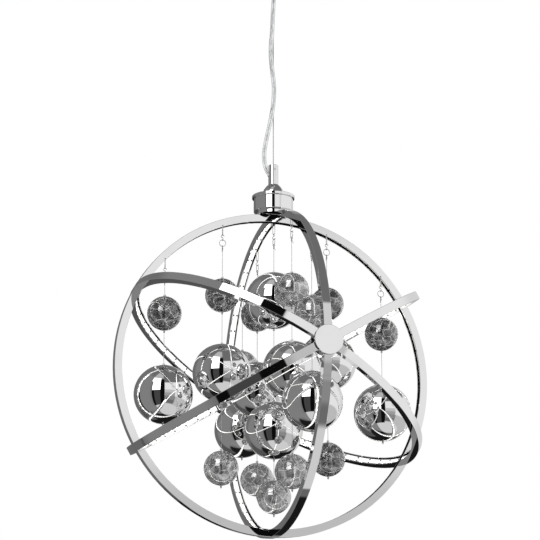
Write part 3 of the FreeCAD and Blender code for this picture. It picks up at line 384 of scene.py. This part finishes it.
class MeshDraft:
    """Corners, faces and their materials, gathered before the mesh is made."""

    def __init__(self):
        self.corners = []
        self.faces = []
        self.kinds = []

    def grid(self, rows, kind=0, close_rows=False, close_columns=False):
        """Joins rows of points with quads."""
        start = len(self.corners)
        wide = len(rows[0])
        for row in rows:
            self.corners.extend(row)
        row_count = len(rows) if close_rows else len(rows) - 1
        column_count = wide if close_columns else wide - 1
        for r in range(row_count):
            for c in range(column_count):
                a = start + r * wide + c
                b = start + r * wide + (c + 1) % wide
                d = start + ((r + 1) % len(rows)) * wide + c
                e = start + ((r + 1) % len(rows)) * wide + (c + 1) % wide
                self.faces.append((a, b, e, d))
                self.kinds.append(kind)

    def cap(self, points, kind=0):
        """One flat face."""
        start = len(self.corners)
        self.corners.extend(points)
        self.faces.append(tuple(range(start, start + len(points))))
        self.kinds.append(kind)

    def tube(self, path, radius, sides=10, closed=False):
        """A round tube along points, with capped ends unless it closes on itself."""
        rings = []
        points = [Vector(point) for point in path]
        count = len(points)
        along = []
        for index in range(count):
            before = points[index - 1] if index or closed else points[0]
            after = points[(index + 1) % count] if index < count - 1 or closed else points[-1]
            along.append((after - before).normalized())
        side = along[0].orthogonal().normalized()
        for point, direction in zip(points, along):
            side = (side - direction * side.dot(direction)).normalized()
            other = direction.cross(side)
            rings.append([point + radius * (side * math.cos(turn) + other * math.sin(turn))
                          for turn in (math.tau * step / sides for step in range(sides))])
        self.grid(rings, close_rows=closed, close_columns=True)
        if not closed:
            self.cap(list(reversed(rings[0])))
            self.cap(rings[-1])

    def turned(self, outline, centre, segments=48, kind=0):
        """A closed outline of (radius, height) turned about the vertical."""
        rows = []
        for step in range(segments):
            turn = math.tau * step / segments
            rows.append([Vector((radius * math.cos(turn), radius * math.sin(turn), height))
                         + centre for radius, height in outline])
        self.grid(rows, kind, close_rows=True)

    def block(self, place, half, kind=0):
        """A box of half sizes at a 4x4 place."""
        signs = [(-1, -1), (1, -1), (1, 1), (-1, 1)]
        rows = [[place @ Vector((x * half[0], y * half[1], z * half[2])) for x, y in signs]
                for z in (-1, 1)]
        self.grid(rows, kind, close_columns=True)
        self.cap(list(reversed(rows[0])), kind)
        self.cap(rows[1], kind)


def make_object(name, draft, materials, smooth=True, crease=40):
    mesh = bpy.data.meshes.new(name)
    mesh.from_pydata([tuple(corner) for corner in draft.corners], [], draft.faces)
    for item in materials:
        mesh.materials.append(item)
    mesh.polygons.foreach_set("material_index", draft.kinds)
    mesh.update()
    thing = bpy.data.objects.new(name, mesh)
    bpy.context.scene.collection.objects.link(thing)
    if smooth:
        mesh.shade_smooth()
        mesh.set_sharp_from_angle(angle=math.radians(crease))
    return thing


def sealed(thing):
    """Joins the seam that turning an outline leaves."""
    work = bmesh.new()
    work.from_mesh(thing.data)
    bmesh.ops.remove_doubles(work, verts=work.verts, dist=1e-7)
    bmesh.ops.recalc_face_normals(work, faces=work.faces)
    work.to_mesh(thing.data)
    work.free()
    return thing


def finish_piece(thing, body, slot, *nodes):
    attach(thing, body)
    if nodes:
        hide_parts(*nodes)
    return thing


def paint_nodes(material_name, names):
    """Gives CAD nodes, whose shapes are right as they are, their finished material."""
    for name in names:
        mesh_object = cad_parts[name]
        for slot in mesh_object.material_slots:
            slot.link = "OBJECT"
            slot.material = material(material_name)


# ---------------------------------------------------------------------------
# Places
# ---------------------------------------------------------------------------

def orb_centre():
    return Vector((0.0, 0.0, -sizes().orb_drop))


# Reach of each strand's hook from the orb's axis, and the heights of its balls' centres from
# the orb's centre, in millimetres, large balls first.  Smoked and clear balls are told apart.
STRANDS = {
    "left_end": ("level", -167.5, [-42.5], [(76.6, "smoked_glass")]),
    "left": ("level", -80.5, [-5.7], [(110.1, "smoked_glass"), (-144.4, "clear_glass")]),
    "right": ("level", 82.0, [20.9], [(109.0, "smoked_glass"), (-123.9, "smoked_glass")]),
    "right_end": ("level", 168.0, [-50.0], [(69.2, "smoked_glass")]),
    "centre": ("top", 14.0, [113.0, -81.8], [(-179.5, "clear_glass")]),
    "rear": ("top", 95.4, [-7.0], [(109.1, "smoked_glass"), (-142.6, "clear_glass")]),
    "far_rear": ("top", 172.0, [-55.2], [(43.7, "clear_glass")]),
    "front": ("top", -69.5, [-8.8], [(109.9, "clear_glass"), (-154.6, "clear_glass")]),
    "far_front": ("top", -157.0, [-69.6], [(55.9, "clear_glass")]),
}
HOOK_HOLE_RADIUS = 230.6 * MM
WALL_MIDDLE = 5.3 * MM


def hook_place(name):
    """Centre of the strand's hook hole."""
    band, reach, _, _ = STRANDS[name]
    reach *= MM
    height = math.sqrt(HOOK_HOLE_RADIUS ** 2 - reach ** 2) - sizes().orb_drop
    if band == "level":
        return Vector((reach, -WALL_MIDDLE, height))
    return Vector((WALL_MIDDLE, reach, height))


def ball_centre(name, height):
    hook = hook_place(name)
    return Vector((hook.x, hook.y, height * MM - sizes().orb_drop))


# ---------------------------------------------------------------------------
# Cords: the suspension wire and the clear flex
# ---------------------------------------------------------------------------

# The flex's route from inside the ceiling cup to inside the tube, in metres from the centre
# of the orb.
FLEX_ROUTE = [
    (-0.0022, -0.0158, 0.6195),
    (-0.0022, -0.0156, 0.6040),
    (-0.0024, -0.0095, 0.5830),
    (-0.0030, -0.0065, 0.5560),
    (-0.0046, -0.0086, 0.5280),
    (-0.0070, -0.0073, 0.4990),
    (-0.0052, -0.0086, 0.4700),
    (-0.0010, -0.0080, 0.4420),
    (-0.0022, -0.0076, 0.4130),
    (-0.0062, -0.0050, 0.3860),
    (-0.0116, -0.0002, 0.3570),
    (-0.0142, 0.0042, 0.3340),
    (-0.0110, 0.0044, 0.3145),
    (-0.0054, 0.0020, 0.3035),
    (-0.0013, 0.0004, 0.2960),
]
WIRE_TOP = -0.05005
WIRE_FOOT = -0.35255
FERRULE_RADIUS = 0.0022
FERRULE_LENGTH = 0.007
FERRULE_BEVEL = 0.3 * MM
FIT_GAP = 0.02 * MM
CORES = 2
CORE_OFFSET = 1.1       # from the flex's centre line, in radii of a core
CORE_TWIST = 0.034      # length of one turn of the cores round each other


def spline_object(name, points, radius):
    """A smooth cord: a NURBS spline with the route's points as its control points."""
    curve = bpy.data.curves.new(name, "CURVE")
    curve.dimensions = "3D"
    curve.resolution_u = 12
    spline = curve.splines.new("NURBS")
    spline.points.add(len(points) - 1)
    for item, point in zip(spline.points, points):
        item.co = (*point, 1.0)
    spline.order_u = 3
    spline.use_endpoint_u = True
    curve.bevel_depth = radius
    curve.bevel_resolution = 5
    curve.use_fill_caps = True
    thing = bpy.data.objects.new(name, curve)
    bpy.context.scene.collection.objects.link(thing)
    return thing


def spline_line(points):
    """The centreline that a cord's own spline gives, as points."""
    bare = spline_object("cord_line", points, 0.0)
    mesh = bpy.data.meshes.new_from_object(bare)
    line = [vertex.co.copy() for vertex in mesh.vertices]
    bpy.data.objects.remove(bare)
    return line


def twisted_beside(line, offset, pitch, phase):
    """A line that winds round another one."""
    twisted = []
    travelled = 0.0
    side = (line[1] - line[0]).orthogonal().normalized()
    for index, point in enumerate(line):
        before, after = line[max(index - 1, 0)], line[min(index + 1, len(line) - 1)]
        along = (after - before).normalized()
        side = (side - along * side.dot(along)).normalized()
        travelled += (point - before).length
        turn = math.tau * travelled / pitch + phase
        twisted.append(point + offset * (side * math.cos(turn)
                                         + along.cross(side) * math.sin(turn)))
    return twisted


class ORB_OT_cords(bpy.types.Operator):
    """Make the steel suspension wire and the clear flex with its cores"""
    bl_idname = "orb.cords"
    bl_label = "Wire and flex"

    def execute(self, context):
        size = sizes()
        top, foot = Vector((0, 0, WIRE_TOP)), Vector((0, 0, WIRE_FOOT))
        wire_route = [top, top.lerp(foot, 0.33), top.lerp(foot, 0.67), foot]
        wire = spline_object("suspension_wire_rope", wire_route, size.suspension_wire)
        wire.data.materials.append(material("steel_wire"))
        finish_piece(wire, "orb", "steel_wire", "suspension_wire")
        draft = MeshDraft()
        bore, bevel = size.suspension_wire + FIT_GAP, FERRULE_BEVEL
        low, high = WIRE_FOOT, WIRE_FOOT + FERRULE_LENGTH
        draft.turned([(bore, high), (FERRULE_RADIUS - bevel, high),
                      (FERRULE_RADIUS, high - bevel), (FERRULE_RADIUS, low + bevel),
                      (FERRULE_RADIUS - bevel, low), (bore, low), (bore, high)], Vector(), 32)
        ferrule = make_object("suspension_wire_ferrule", draft, [material("zinc_steel")])
        finish_piece(sealed(ferrule), "orb", "zinc_steel", "suspension_wire")
        centre = orb_centre()
        route = [Vector(point) + centre for point in FLEX_ROUTE]
        sheath = spline_object("clear_flex_sheath", route, size.flex)
        sheath.data.materials.append(material("flex_sheath"))
        finish_piece(sheath, "orb", "clear_flex", "clear_flex")
        line = spline_line(route)
        for index in range(CORES):
            draft = MeshDraft()
            draft.tube(twisted_beside(line, CORE_OFFSET * size.flex_core, CORE_TWIST,
                                      math.tau * index / CORES), size.flex_core)
            core = make_object("clear_flex_core_%d" % index, draft, [material("flex_core")])
            finish_piece(core, "orb", "clear_flex")
        return {"FINISHED"}


# ---------------------------------------------------------------------------
# Metal pieces that the frame gives, with their finishes
# ---------------------------------------------------------------------------

CHROME_NODES = [
    "canopy_cup", "canopy_screws", "wire_grip", "tube_coupler", "cap_dome", "cap_lid",
    "cap_cup", "cap_base", "hub_covers", "hub_plates", "level_band", "top_half_band",
    "upper_right_half_band", "lower_right_half_band", "bottom_half_band",
    "lower_left_half_band", "upper_left_half_band",
]
ZINC_NODES = [
    "ceiling_bracket", "grip_nut", "wire_ball_head", "coupler_grub_screw", "threaded_nipple",
    "nipple_nut", "base_screws", "hub_screws",
]
PLASTIC_NODES = ["led_driver", "terminal_block", "lead_connector"]


class ORB_OT_metalwork(bpy.types.Operator):
    """Finish the bands, hubs, carrier and ceiling cup"""
    bl_idname = "orb.metalwork"
    bl_label = "Metalwork"

    def execute(self, context):
        paint_nodes("chrome", CHROME_NODES)
        paint_nodes("zinc_steel", ZINC_NODES)
        paint_nodes("white_plastic", PLASTIC_NODES)
        paint_nodes("clear_bush", ["flex_grommet"])
        return {"FINISHED"}


# ---------------------------------------------------------------------------
# Light strips in the bands' channels
# ---------------------------------------------------------------------------

NUDGE = 0.01    # radians along a strip, or metres across it, to find its direction


def band_place(turn, angle, radius, across):
    """A point on a half band: turn about the hub axis from the top, angle from the hub."""
    out = Vector((math.sin(turn), 0, math.cos(turn)))
    side = Vector((math.cos(turn), 0, -math.sin(turn)))
    return (orb_centre() + radius * (-math.cos(angle) * Vector((0, 1, 0))
                                     + math.sin(angle) * out) + across * side)


def level_place(angle, radius, across):
    """A point on the level band at an angle from the top."""
    return orb_centre() + Vector((radius * math.sin(angle), across, radius * math.cos(angle)))


def strip_frame(place, angle, radius):
    """Axes at a spot on the strip: along it, across it and towards the orb's centre."""
    here = place(angle, radius, 0.0)
    along = (place(angle + NUDGE, radius, 0.0) - here).normalized()
    across = (place(angle, radius, NUDGE) - here).normalized()
    inward = (orb_centre() - here).normalized()
    return Matrix((
        (along.x, across.x, inward.x, here.x),
        (along.y, across.y, inward.y, here.y),
        (along.z, across.z, inward.z, here.z),
        (0, 0, 0, 1),
    ))


# Material places: the board with its painted glow, the chips, the pads, and the black sheet of
# painted shade in the channel.
STRIP_GLOWING_BASE, STRIP_CHIP, STRIP_PAD, STRIP_PAINTED_SHADE = range(4)
STRIP_THICKNESS = 0.8 * MM
CHIP_HALF = (1.5 * MM, 1.2 * MM, 0.35 * MM)
PAD_HALF = (1.2 * MM, 1.1 * MM, 0.25 * MM)
PAD_SPREAD = 2.7 * MM
CHIPS_PER_PAD_PAIR = 2
HALF_BANDS = 6
STRIP_FROM_AXIS = 21.2 * MM             # a half band's strip starts here, beside the hub
STRIP_TO_LEVEL_BAND = 0.5 * MM          # and ends this far from the level band's side
SHADE_SHEET_SET_BACK = 0.25 * MM             # from the band's inner edges
STRIP_STEP = math.radians(2.0)
FEWEST_STEPS = 8


def add_strip(draft, place, first, last, closed=False):
    """One stretch of strip with its chips and pad pairs, and a black sheet along the channel's
    walls: painted shade inside the channel.
    """
    size = sizes()
    face, half = size.strip_face, size.strip_width / 2
    steps = max(FEWEST_STEPS, int(abs(last - first) / STRIP_STEP))
    angles = [first + (last - first) * step / steps for step in range(steps + 1)]
    if closed:
        angles.pop()
    back = face + STRIP_THICKNESS
    section = [(back, half), (face, half), (face, -half), (back, -half)]
    rows = [[place(angle, radius, across) for radius, across in section]
            for angle in angles]
    draft.grid(rows, STRIP_GLOWING_BASE, close_rows=closed, close_columns=True)
    if not closed:
        draft.cap(list(reversed(rows[0])), STRIP_GLOWING_BASE)
        draft.cap(rows[-1], STRIP_GLOWING_BASE)
    # painted shade: a black sheet along each wall of the channel
    wall = size.channel_width / 2
    lip = size.orb_radius - size.band_depth + SHADE_SHEET_SET_BACK
    for side in (-1, 1):
        outer, inner = side * (wall - FIT_GAP), side * (half + FIT_GAP)
        shade_sheet = [(face, outer), (lip, outer), (lip, inner), (face, inner)]
        rows = [[place(angle, radius, across) for radius, across in shade_sheet]
                for angle in angles]
        draft.grid(rows, STRIP_PAINTED_SHADE, close_rows=closed, close_columns=True)
        if not closed:
            draft.cap(rows[0], STRIP_PAINTED_SHADE)
            draft.cap(rows[-1], STRIP_PAINTED_SHADE)
    count = int(abs(last - first) * face / size.chip_pitch)
    for index in range(count):
        angle = first + (last - first) * (index + 0.5) / count
        spot = strip_frame(place, angle, face)
        draft.block(spot @ Matrix.Translation((0, 0, CHIP_HALF[2])), CHIP_HALF, STRIP_CHIP)
        if index % CHIPS_PER_PAD_PAIR:
            continue
        angle += (last - first) * 0.5 / count
        spot = strip_frame(place, angle, face)
        for side in (-1, 1):
            pad = spot @ Matrix.Translation((0, side * PAD_SPREAD, PAD_HALF[2]))
            draft.block(pad, PAD_HALF, STRIP_PAD)


def strip_materials():
    return [material(name) for name in ("strip_base_painted_glow", "light_chip", "solder_pad",
                                        "channel_painted_shade")]


class ORB_OT_light_strips(bpy.types.Operator):
    """Make the light strips with their chips and pads, and the black sheets of painted shade in
    their channels
    """
    bl_idname = "orb.light_strips"
    bl_label = "Light strips"

    def execute(self, context):
        size = sizes()
        inner = size.orb_radius - size.band_depth
        at_hub = math.asin(STRIP_FROM_AXIS / inner)
        at_lap = math.pi / 2 - math.asin((size.band_width / 2 + STRIP_TO_LEVEL_BAND) / inner)
        level = MeshDraft()
        add_strip(level, level_place, 0.0, math.tau, closed=True)
        strip = make_object("level_light_strip_lit", level, strip_materials(), crease=30)
        finish_piece(strip, "orb", "light_strip", "level_light_strip")
        halves = MeshDraft()
        for step in range(HALF_BANDS):
            place = partial(band_place, step * math.tau / HALF_BANDS)
            add_strip(halves, place, at_hub, at_lap)
            add_strip(halves, place, math.pi - at_lap, math.pi - at_hub)
        strips = make_object("half_band_light_strips_lit", halves, strip_materials(), crease=30)
        finish_piece(strips, "orb", "light_strip", "half_band_light_strips")
        return {"FINISHED"}


# ---------------------------------------------------------------------------
# Strands: hangers and glass
# ---------------------------------------------------------------------------

HOOK_LENGTH = 15.0 * MM
HOOK_HALF = 1.6 * MM
TWIST_RADIUS = 2.2 * MM
LINK_RADIUS = 4.9 * MM
EYE_RADIUS = 1.4 * MM
LINK_PLAY = 0.1 * MM                    # between two wires that hang in each other
TAIL_TURNS = 4
TAIL_STEPS = 12                         # in one turn
TAIL_PITCH = 0.9 * MM
TAIL_RADIUS = 0.8 * MM
TAIL_WIRE = 0.32 * MM
WIRE_PAST_BALL = 4.7 * MM               # below the lowest ball
SLEEVE_UNDER_BALL = 0.05 * MM
BEAD_RADIUS = 1.6 * MM
BEAD_BORE = 0.45 * MM
BEAD_ABOVE_BALL = 3.4 * MM              # to the bead's top
BEAD_STEPS = 10
BEAD_KIND = 1                           # place of the bead's material after the wire's
HALF_TURN_STEPS = 12
TWIST_STEPS = 18
SMALL_SEGMENTS = 20
BALL_SEGMENTS = 96
BALL_HOLE = 1.2 * MM


def ring_points(centre, radius, first, second, count=36):
    return [centre + radius * (first * math.cos(turn) + second * math.sin(turn))
            for turn in (math.tau * step / count for step in range(count))]


def hook_points(top, side):
    """A long loop of wire that hangs from a point."""
    down = Vector((0, 0, -1))
    points = []
    bend = top + down * HOOK_HALF
    for step in range(HALF_TURN_STEPS + 1):
        turn = math.pi * step / HALF_TURN_STEPS
        points.append(bend + HOOK_HALF * (side * math.cos(turn) - down * math.sin(turn)))
    bend = top + down * (HOOK_LENGTH - HOOK_HALF)
    for step in range(HALF_TURN_STEPS + 1):
        turn = math.pi * step / HALF_TURN_STEPS
        points.append(bend - HOOK_HALF * (side * math.cos(turn) - down * math.sin(turn)))
    return points


def twist_points(top, upper_side, lower_side):
    """An S of wire whose foot is turned a quarter round from its head."""
    points = []
    for drop, side, first, last in ((1, upper_side, 0.56, -1.0),
                                    (3, lower_side, 0.0, -1.56)):
        centre = top - Vector((0, 0, drop * TWIST_RADIUS))
        for step in range(TWIST_STEPS + 1):
            turn = math.pi * (first + (last - first) * step / TWIST_STEPS)
            points.append(centre + TWIST_RADIUS * (side * math.sin(turn)
                                                   + Vector((0, 0, math.cos(turn)))))
    return points


def add_sleeve(draft, centre, top):
    """A crimp with rounded ends and a pressed waist; its top is at a height."""
    radius, tall, bevel, bore = 1.5 * MM, 3.2 * MM, 0.4 * MM, 0.42 * MM
    foot, inset, waist = top - tall, bevel * 0.3, radius * 0.82
    outline = [(bore, top), (radius - bevel, top), (radius - inset, top - inset),
               (radius, top - bevel), (waist, top - tall / 2), (radius, foot + bevel),
               (radius - inset, foot + inset), (radius - bevel, foot),
               (bore, foot), (bore, top)]
    draft.turned(outline, Vector((centre.x, centre.y, 0)), SMALL_SEGMENTS)


def add_bead(draft, centre, top):
    """A small glass bead threaded on the wire; its top is at a height."""
    outline = [(BEAD_BORE, top)]
    for step in range(1, BEAD_STEPS):
        turn = math.pi * step / BEAD_STEPS
        outline.append((BEAD_BORE + BEAD_RADIUS * math.sin(turn),
                        top - BEAD_RADIUS * (1 - math.cos(turn))))
    outline += [(BEAD_BORE, top - 2 * BEAD_RADIUS), (BEAD_BORE, top)]
    draft.turned(outline, Vector((centre.x, centre.y, 0)), SMALL_SEGMENTS, BEAD_KIND)


def hanger_object(name):
    """Hook, twisted link, ring, eye with its tail, wire, crimps and beads of one strand."""
    size = sizes()
    band, _, large, small = STRANDS[name]
    top = hook_place(name)
    up = Vector((0, 0, 1))
    across = Vector((0, 1, 0)) if band == "level" else Vector((1, 0, 0))
    sideways = Vector((1, 0, 0)) if band == "level" else Vector((0, 1, 0))
    thick = size.hook_wire
    touch = 2 * thick + LINK_PLAY
    draft = MeshDraft()
    draft.tube(hook_points(top, across), thick, closed=True)
    twist = twist_points(top - up * (HOOK_LENGTH - touch), sideways, across)
    draft.tube(twist, thick, sides=8)
    link = top - up * (HOOK_LENGTH - 2 * touch + 4 * TWIST_RADIUS + LINK_RADIUS)
    draft.tube(ring_points(link, LINK_RADIUS, sideways, up), thick, closed=True)
    eye = link - up * (LINK_RADIUS - touch + EYE_RADIUS)
    draft.tube(ring_points(eye, EYE_RADIUS, across, up, 24), thick, closed=True)
    wire_top = eye - up * (EYE_RADIUS + thick)
    tail = []
    for step in range(TAIL_TURNS * TAIL_STEPS + 1):
        turn = math.tau * step / TAIL_STEPS
        drop = TAIL_PITCH * step / TAIL_STEPS
        tail.append(wire_top - up * drop + TAIL_RADIUS * (across * math.cos(turn)
                                                          + sideways * math.sin(turn)))
    tail.append(tail[-1] + across * 1.2 * MM - up * 0.8 * MM)
    tail.append(tail[-1] + across * 0.8 * MM - up * 1.2 * MM)
    draft.tube(tail, TAIL_WIRE, sides=8)
    balls = ([(size.large_ball, height) for height in large]
             + [(size.small_ball, height) for height, _ in small])
    lowest = min(height * MM - radius for radius, height in balls)
    foot = Vector((top.x, top.y, lowest - size.orb_drop - WIRE_PAST_BALL))
    draft.tube([wire_top, wire_top.lerp(foot, 0.5), foot], size.hanging_wire, sides=8)
    for radius, height in balls:
        level = height * MM - size.orb_drop
        add_sleeve(draft, top, level - radius - SLEEVE_UNDER_BALL)
        add_bead(draft, top, level + radius + BEAD_ABOVE_BALL)
    thing = make_object(name + "_hanger_wires", draft,
                        [material("steel_wire"), material("glass_bead")], crease=60)
    return finish_piece(thing, name + "_strand", "steel_wire", name + "_hanger")


def ball_outline(radius, wall, hole, count=48):
    """Closed section of a blown shell with a small rounded hole at each pole."""
    start = math.asin(hole / radius)
    outer = [start + (math.pi - 2 * start) * step / count for step in range(count + 1)]
    inside = radius - wall
    inner_start = math.asin(hole / inside)
    inner = [inner_start + (math.pi - 2 * inner_start) * step / count
             for step in range(count + 1)]
    outline = [(radius * math.sin(turn), radius * math.cos(turn)) for turn in outer]
    outline += [(inside * math.sin(turn), inside * math.cos(turn)) for turn in reversed(inner)]
    outline.append(outline[0])
    return outline


def ball_object(name, centre, radius, finish):
    """A blown ball in a finish."""
    draft = MeshDraft()
    draft.turned(ball_outline(radius, sizes().glass_wall, BALL_HOLE), centre, BALL_SEGMENTS)
    return make_object(name, draft, [material(finish)], crease=50)


class ORB_OT_hangers(bpy.types.Operator):
    """Make the hooks, links, wires, crimps and beads of every strand"""
    bl_idname = "orb.hangers"
    bl_label = "Hangers"

    def execute(self, context):
        for name in STRANDS:
            hanger_object(name)
        return {"FINISHED"}


class ORB_OT_mirror_balls(bpy.types.Operator):
    """Make the large mirrored balls"""
    bl_idname = "orb.mirror_balls"
    bl_label = "Mirrored balls"

    def execute(self, context):
        for name, (_, _, large, _) in STRANDS.items():
            for index, height in enumerate(large):
                ball = sealed(ball_object("%s_mirrored_%d" % (name, index),
                                          ball_centre(name, height), sizes().large_ball,
                                          "mirror_glass"))
                finish_piece(ball, name + "_strand", "mirror_glass", name + "_mirror_balls")
        return {"FINISHED"}


class ORB_OT_small_balls(bpy.types.Operator):
    """Make the small smoked and clear balls"""
    bl_idname = "orb.small_balls"
    bl_label = "Smoked and clear balls"

    def execute(self, context):
        for name, (_, _, _, small) in STRANDS.items():
            for index, (height, finish) in enumerate(small):
                ball = sealed(ball_object("%s_%s_%d" % (name, finish.split("_")[0], index),
                                          ball_centre(name, height), sizes().small_ball, finish))
                finish_piece(ball, name + "_strand", "small_glass", name + "_small_balls")
        return {"FINISHED"}


# ---------------------------------------------------------------------------
# Stage: camera, studio and floor
# ---------------------------------------------------------------------------

CAMERA_FROM_ORB = Vector((-0.8902, -2.7267, -0.5887))
CAMERA_ASIDE = 17.98
CAMERA_RISE = 14.56
CAMERA_LENS = 133.2
SENSOR_WIDTH = 36.0
FARTHEST_SEEN = 50.0
FLOOR_HEIGHT = -2.6
FLOOR_REACH = 9.0

SEEN_BRIGHTNESS = 1.0           # of the ground that the camera sees
SOFT_BRIGHTNESS = 0.9           # of the light that falls on matt surfaces
ROOM_RISE = (-40.0, 60.0)       # between these heights in degrees the studio goes
ROOM_BRIGHTNESS = (0.14, 0.17)  # from the first brightness to the second

# Patches of the studio, as seen from the orb: degrees aside from the camera and above the
# horizon, softness in degrees, and brightness.
STUDIO_PATCHES = [
    ((-125, -46), (-60, 95), 10, 0.23),     # left wall
    ((-38, 125), (-95, -42), 3, 0.68),      # pale ground below
    ((-80, -38), (-95, -49), 3, 0.24),
    ((52, 143), (-44, -12), 4, 0.55),       # foot of the right wall
    ((8, 166), (-14, 36.5), 2.5, 0.87),     # light right wall
    ((130, 175), (-14, 34), 12, 0.70),
    ((36.5, 46), (15.4, 37), 1, 0.70),
    ((8, 50), (-6, 9), 1.5, 0.57),          # its foot, in steps of shade
    ((8, 50), (-13, -2), 2.5, 0.38),
    ((8, 50), (-30, -12), 4, 0.27),
    ((8, 50), (-42, -29), 4, 0.16),
    ((8, 200), (39, 95), 3, 0.16),          # ceiling
    ((-200, 8), (58, 95), 4, 0.16),
    ((-50, 4), (54, 80), 4, 0.50),
    ((143, 200), (-95, -15), 3, 0.010),     # dark ground beyond the orb
    ((-158.5, -128), (-50, -15), 1, 0.09),
    ((-200, -158.5), (-95, -15), 1, 0.010),
    ((-170, -100), (-95, -52), 4, 0.012),
    ((-40, -9), (8, 54), 0.7, 3.0),         # bright window behind the camera
    ((-48.5, -9), (40, 54), 0.7, 3.0),
    ((-43, 8), (-49, 8), 0.7, 0.004),       # dark doorway beside and below it
    ((-9, 8), (-49, 50), 0.7, 0.004),
    ((-33, -9), (-49, 8), 0.7, 0.060),
]


def patch_mask(tree, aside, rise, across, up, soft):
    parts = []
    for value, (low, high) in ((aside, across), (rise, up)):
        parts.append(ranged(tree, value, low - soft, low + soft))
        parts.append(ranged(tree, value, high - soft, high + soft, 1.0, 0.0))
    mask = parts[0]
    for part in parts[1:]:
        mask = maths(tree, "MULTIPLY", mask, part)
    return mask


def studio_level(tree):
    """Brightness of the studio in each direction, for what the metal and glass reflect."""
    direction = tree.nodes.new("ShaderNodeTexCoord").outputs["Generated"]
    turn = math.radians(CAMERA_ASIDE)
    axes = {
        "behind": (-math.sin(turn), -math.cos(turn), 0.0),
        "right": (math.cos(turn), -math.sin(turn), 0.0),
        "above": (0.0, 0.0, 1.0),
    }
    parts = {}
    for name, axis in axes.items():
        dot = tree.nodes.new("ShaderNodeVectorMath")
        dot.operation = "DOT_PRODUCT"
        tree.links.new(direction, dot.inputs[0])
        dot.inputs[1].default_value = axis
        parts[name] = dot.outputs["Value"]
    degrees = 180.0 / math.pi
    aside = maths(tree, "MULTIPLY", maths(tree, "ARCTAN2", parts["right"], parts["behind"]),
                  degrees)
    rise = maths(tree, "MULTIPLY", maths(tree, "ARCSINE", parts["above"]), degrees)
    level = ranged(tree, rise, *ROOM_RISE, *ROOM_BRIGHTNESS)
    for across, up, soft, brightness in STUDIO_PATCHES:
        mask = patch_mask(tree, aside, rise, across, up, soft)
        blend = tree.nodes.new("ShaderNodeMix")
        tree.links.new(mask, blend.inputs["Factor"])
        tree.links.new(level, blend.inputs["A"])
        blend.inputs["B"].default_value = brightness
        level = blend.outputs["Result"]
    return level


def make_studio():
    world = bpy.data.worlds.new("studio")
    world.use_nodes = True
    tree = world.node_tree
    backdrop = tree.nodes["Background"]
    rays = tree.nodes.new("ShaderNodeLightPath")
    seen = maths(tree, "MAXIMUM", rays.outputs["Is Camera Ray"],
                 rays.outputs["Is Transmission Ray"])
    room = tree.nodes.new("ShaderNodeMix")
    tree.links.new(rays.outputs["Is Glossy Ray"], room.inputs["Factor"])
    room.inputs["A"].default_value = SOFT_BRIGHTNESS
    tree.links.new(studio_level(tree), room.inputs["B"])
    whole = tree.nodes.new("ShaderNodeMix")
    tree.links.new(seen, whole.inputs["Factor"])
    tree.links.new(room.outputs["Result"], whole.inputs["A"])
    whole.inputs["B"].default_value = SEEN_BRIGHTNESS
    tree.links.new(whole.outputs["Result"], backdrop.inputs["Strength"])
    backdrop.inputs["Color"].default_value = (1, 1, 1, 1)
    bpy.context.scene.world = world


def make_camera():
    lens = bpy.data.cameras.new("camera")
    lens.sensor_width = SENSOR_WIDTH
    lens.lens = CAMERA_LENS
    lens.clip_end = FARTHEST_SEEN
    camera = bpy.data.objects.new("camera", lens)
    camera.location = orb_centre() + CAMERA_FROM_ORB
    turn, rise = math.radians(CAMERA_ASIDE), math.radians(CAMERA_RISE)
    forward = Vector((math.sin(turn) * math.cos(rise), math.cos(turn) * math.cos(rise),
                      math.sin(rise)))
    camera.rotation_mode = "QUATERNION"
    camera.rotation_quaternion = forward.to_track_quat("-Z", "Y")
    bpy.context.scene.collection.objects.link(camera)
    bpy.context.scene.camera = camera


def make_floor():
    draft = MeshDraft()
    draft.cap([Vector((x * FLOOR_REACH, y * FLOOR_REACH, FLOOR_HEIGHT))
               for x, y in ((-1, -1), (1, -1), (1, 1), (-1, 1))])
    finish = surface("pale_floor", colours().floor, "grain",
                     {"Roughness": 0.8, "Scale": 8.0}, 0.02)
    floor = make_object("floor", draft, [finish], smooth=False)
    floor.visible_glossy = False
    floor.visible_transmission = False


class ORB_OT_stage(bpy.types.Operator):
    """Set up the camera, the studio and the floor"""
    bl_idname = "orb.stage"
    bl_label = "Stage"

    def execute(self, context):
        context.scene.view_settings.view_transform = "Standard"
        make_camera()
        make_studio()
        make_floor()
        return {"FINISHED"}


# ---------------------------------------------------------------------------
# Panel and registration
# ---------------------------------------------------------------------------

STEPS = (ORB_OT_stage, ORB_OT_cords, ORB_OT_metalwork, ORB_OT_light_strips, ORB_OT_hangers,
         ORB_OT_mirror_balls, ORB_OT_small_balls)


class ORB_PT_panel(bpy.types.Panel):
    """The chandelier's sizes, colours and steps"""
    bl_idname = "ORB_PT_panel"
    bl_label = "Orb chandelier"
    bl_space_type = "VIEW_3D"
    bl_region_type = "UI"
    bl_category = "Orb"

    def draw(self, context):
        for group in (context.scene.orb_sizes, context.scene.orb_colours):
            box = self.layout.box()
            for name in group.__annotations__:
                box.prop(group, name)
        for step in STEPS:
            self.layout.operator(step.bl_idname)


CLASSES = (ORB_PG_sizes, ORB_PG_colours) + STEPS + (ORB_PT_panel,)


def register():
    for item in CLASSES:
        bpy.utils.register_class(item)
    bpy.types.Scene.orb_sizes = bpy.props.PointerProperty(type=ORB_PG_sizes)
    bpy.types.Scene.orb_colours = bpy.props.PointerProperty(type=ORB_PG_colours)


def unregister():
    del bpy.types.Scene.orb_colours
    del bpy.types.Scene.orb_sizes
    for item in reversed(CLASSES):
        bpy.utils.unregister_class(item)


def main():
    register()
    bpy.ops.orb.stage()
    bpy.ops.orb.cords()
    bpy.ops.orb.metalwork()
    bpy.ops.orb.light_strips()
    bpy.ops.orb.hangers()
    bpy.ops.orb.mirror_balls()
    bpy.ops.orb.small_balls()


if __name__ == "__main__":
    main()
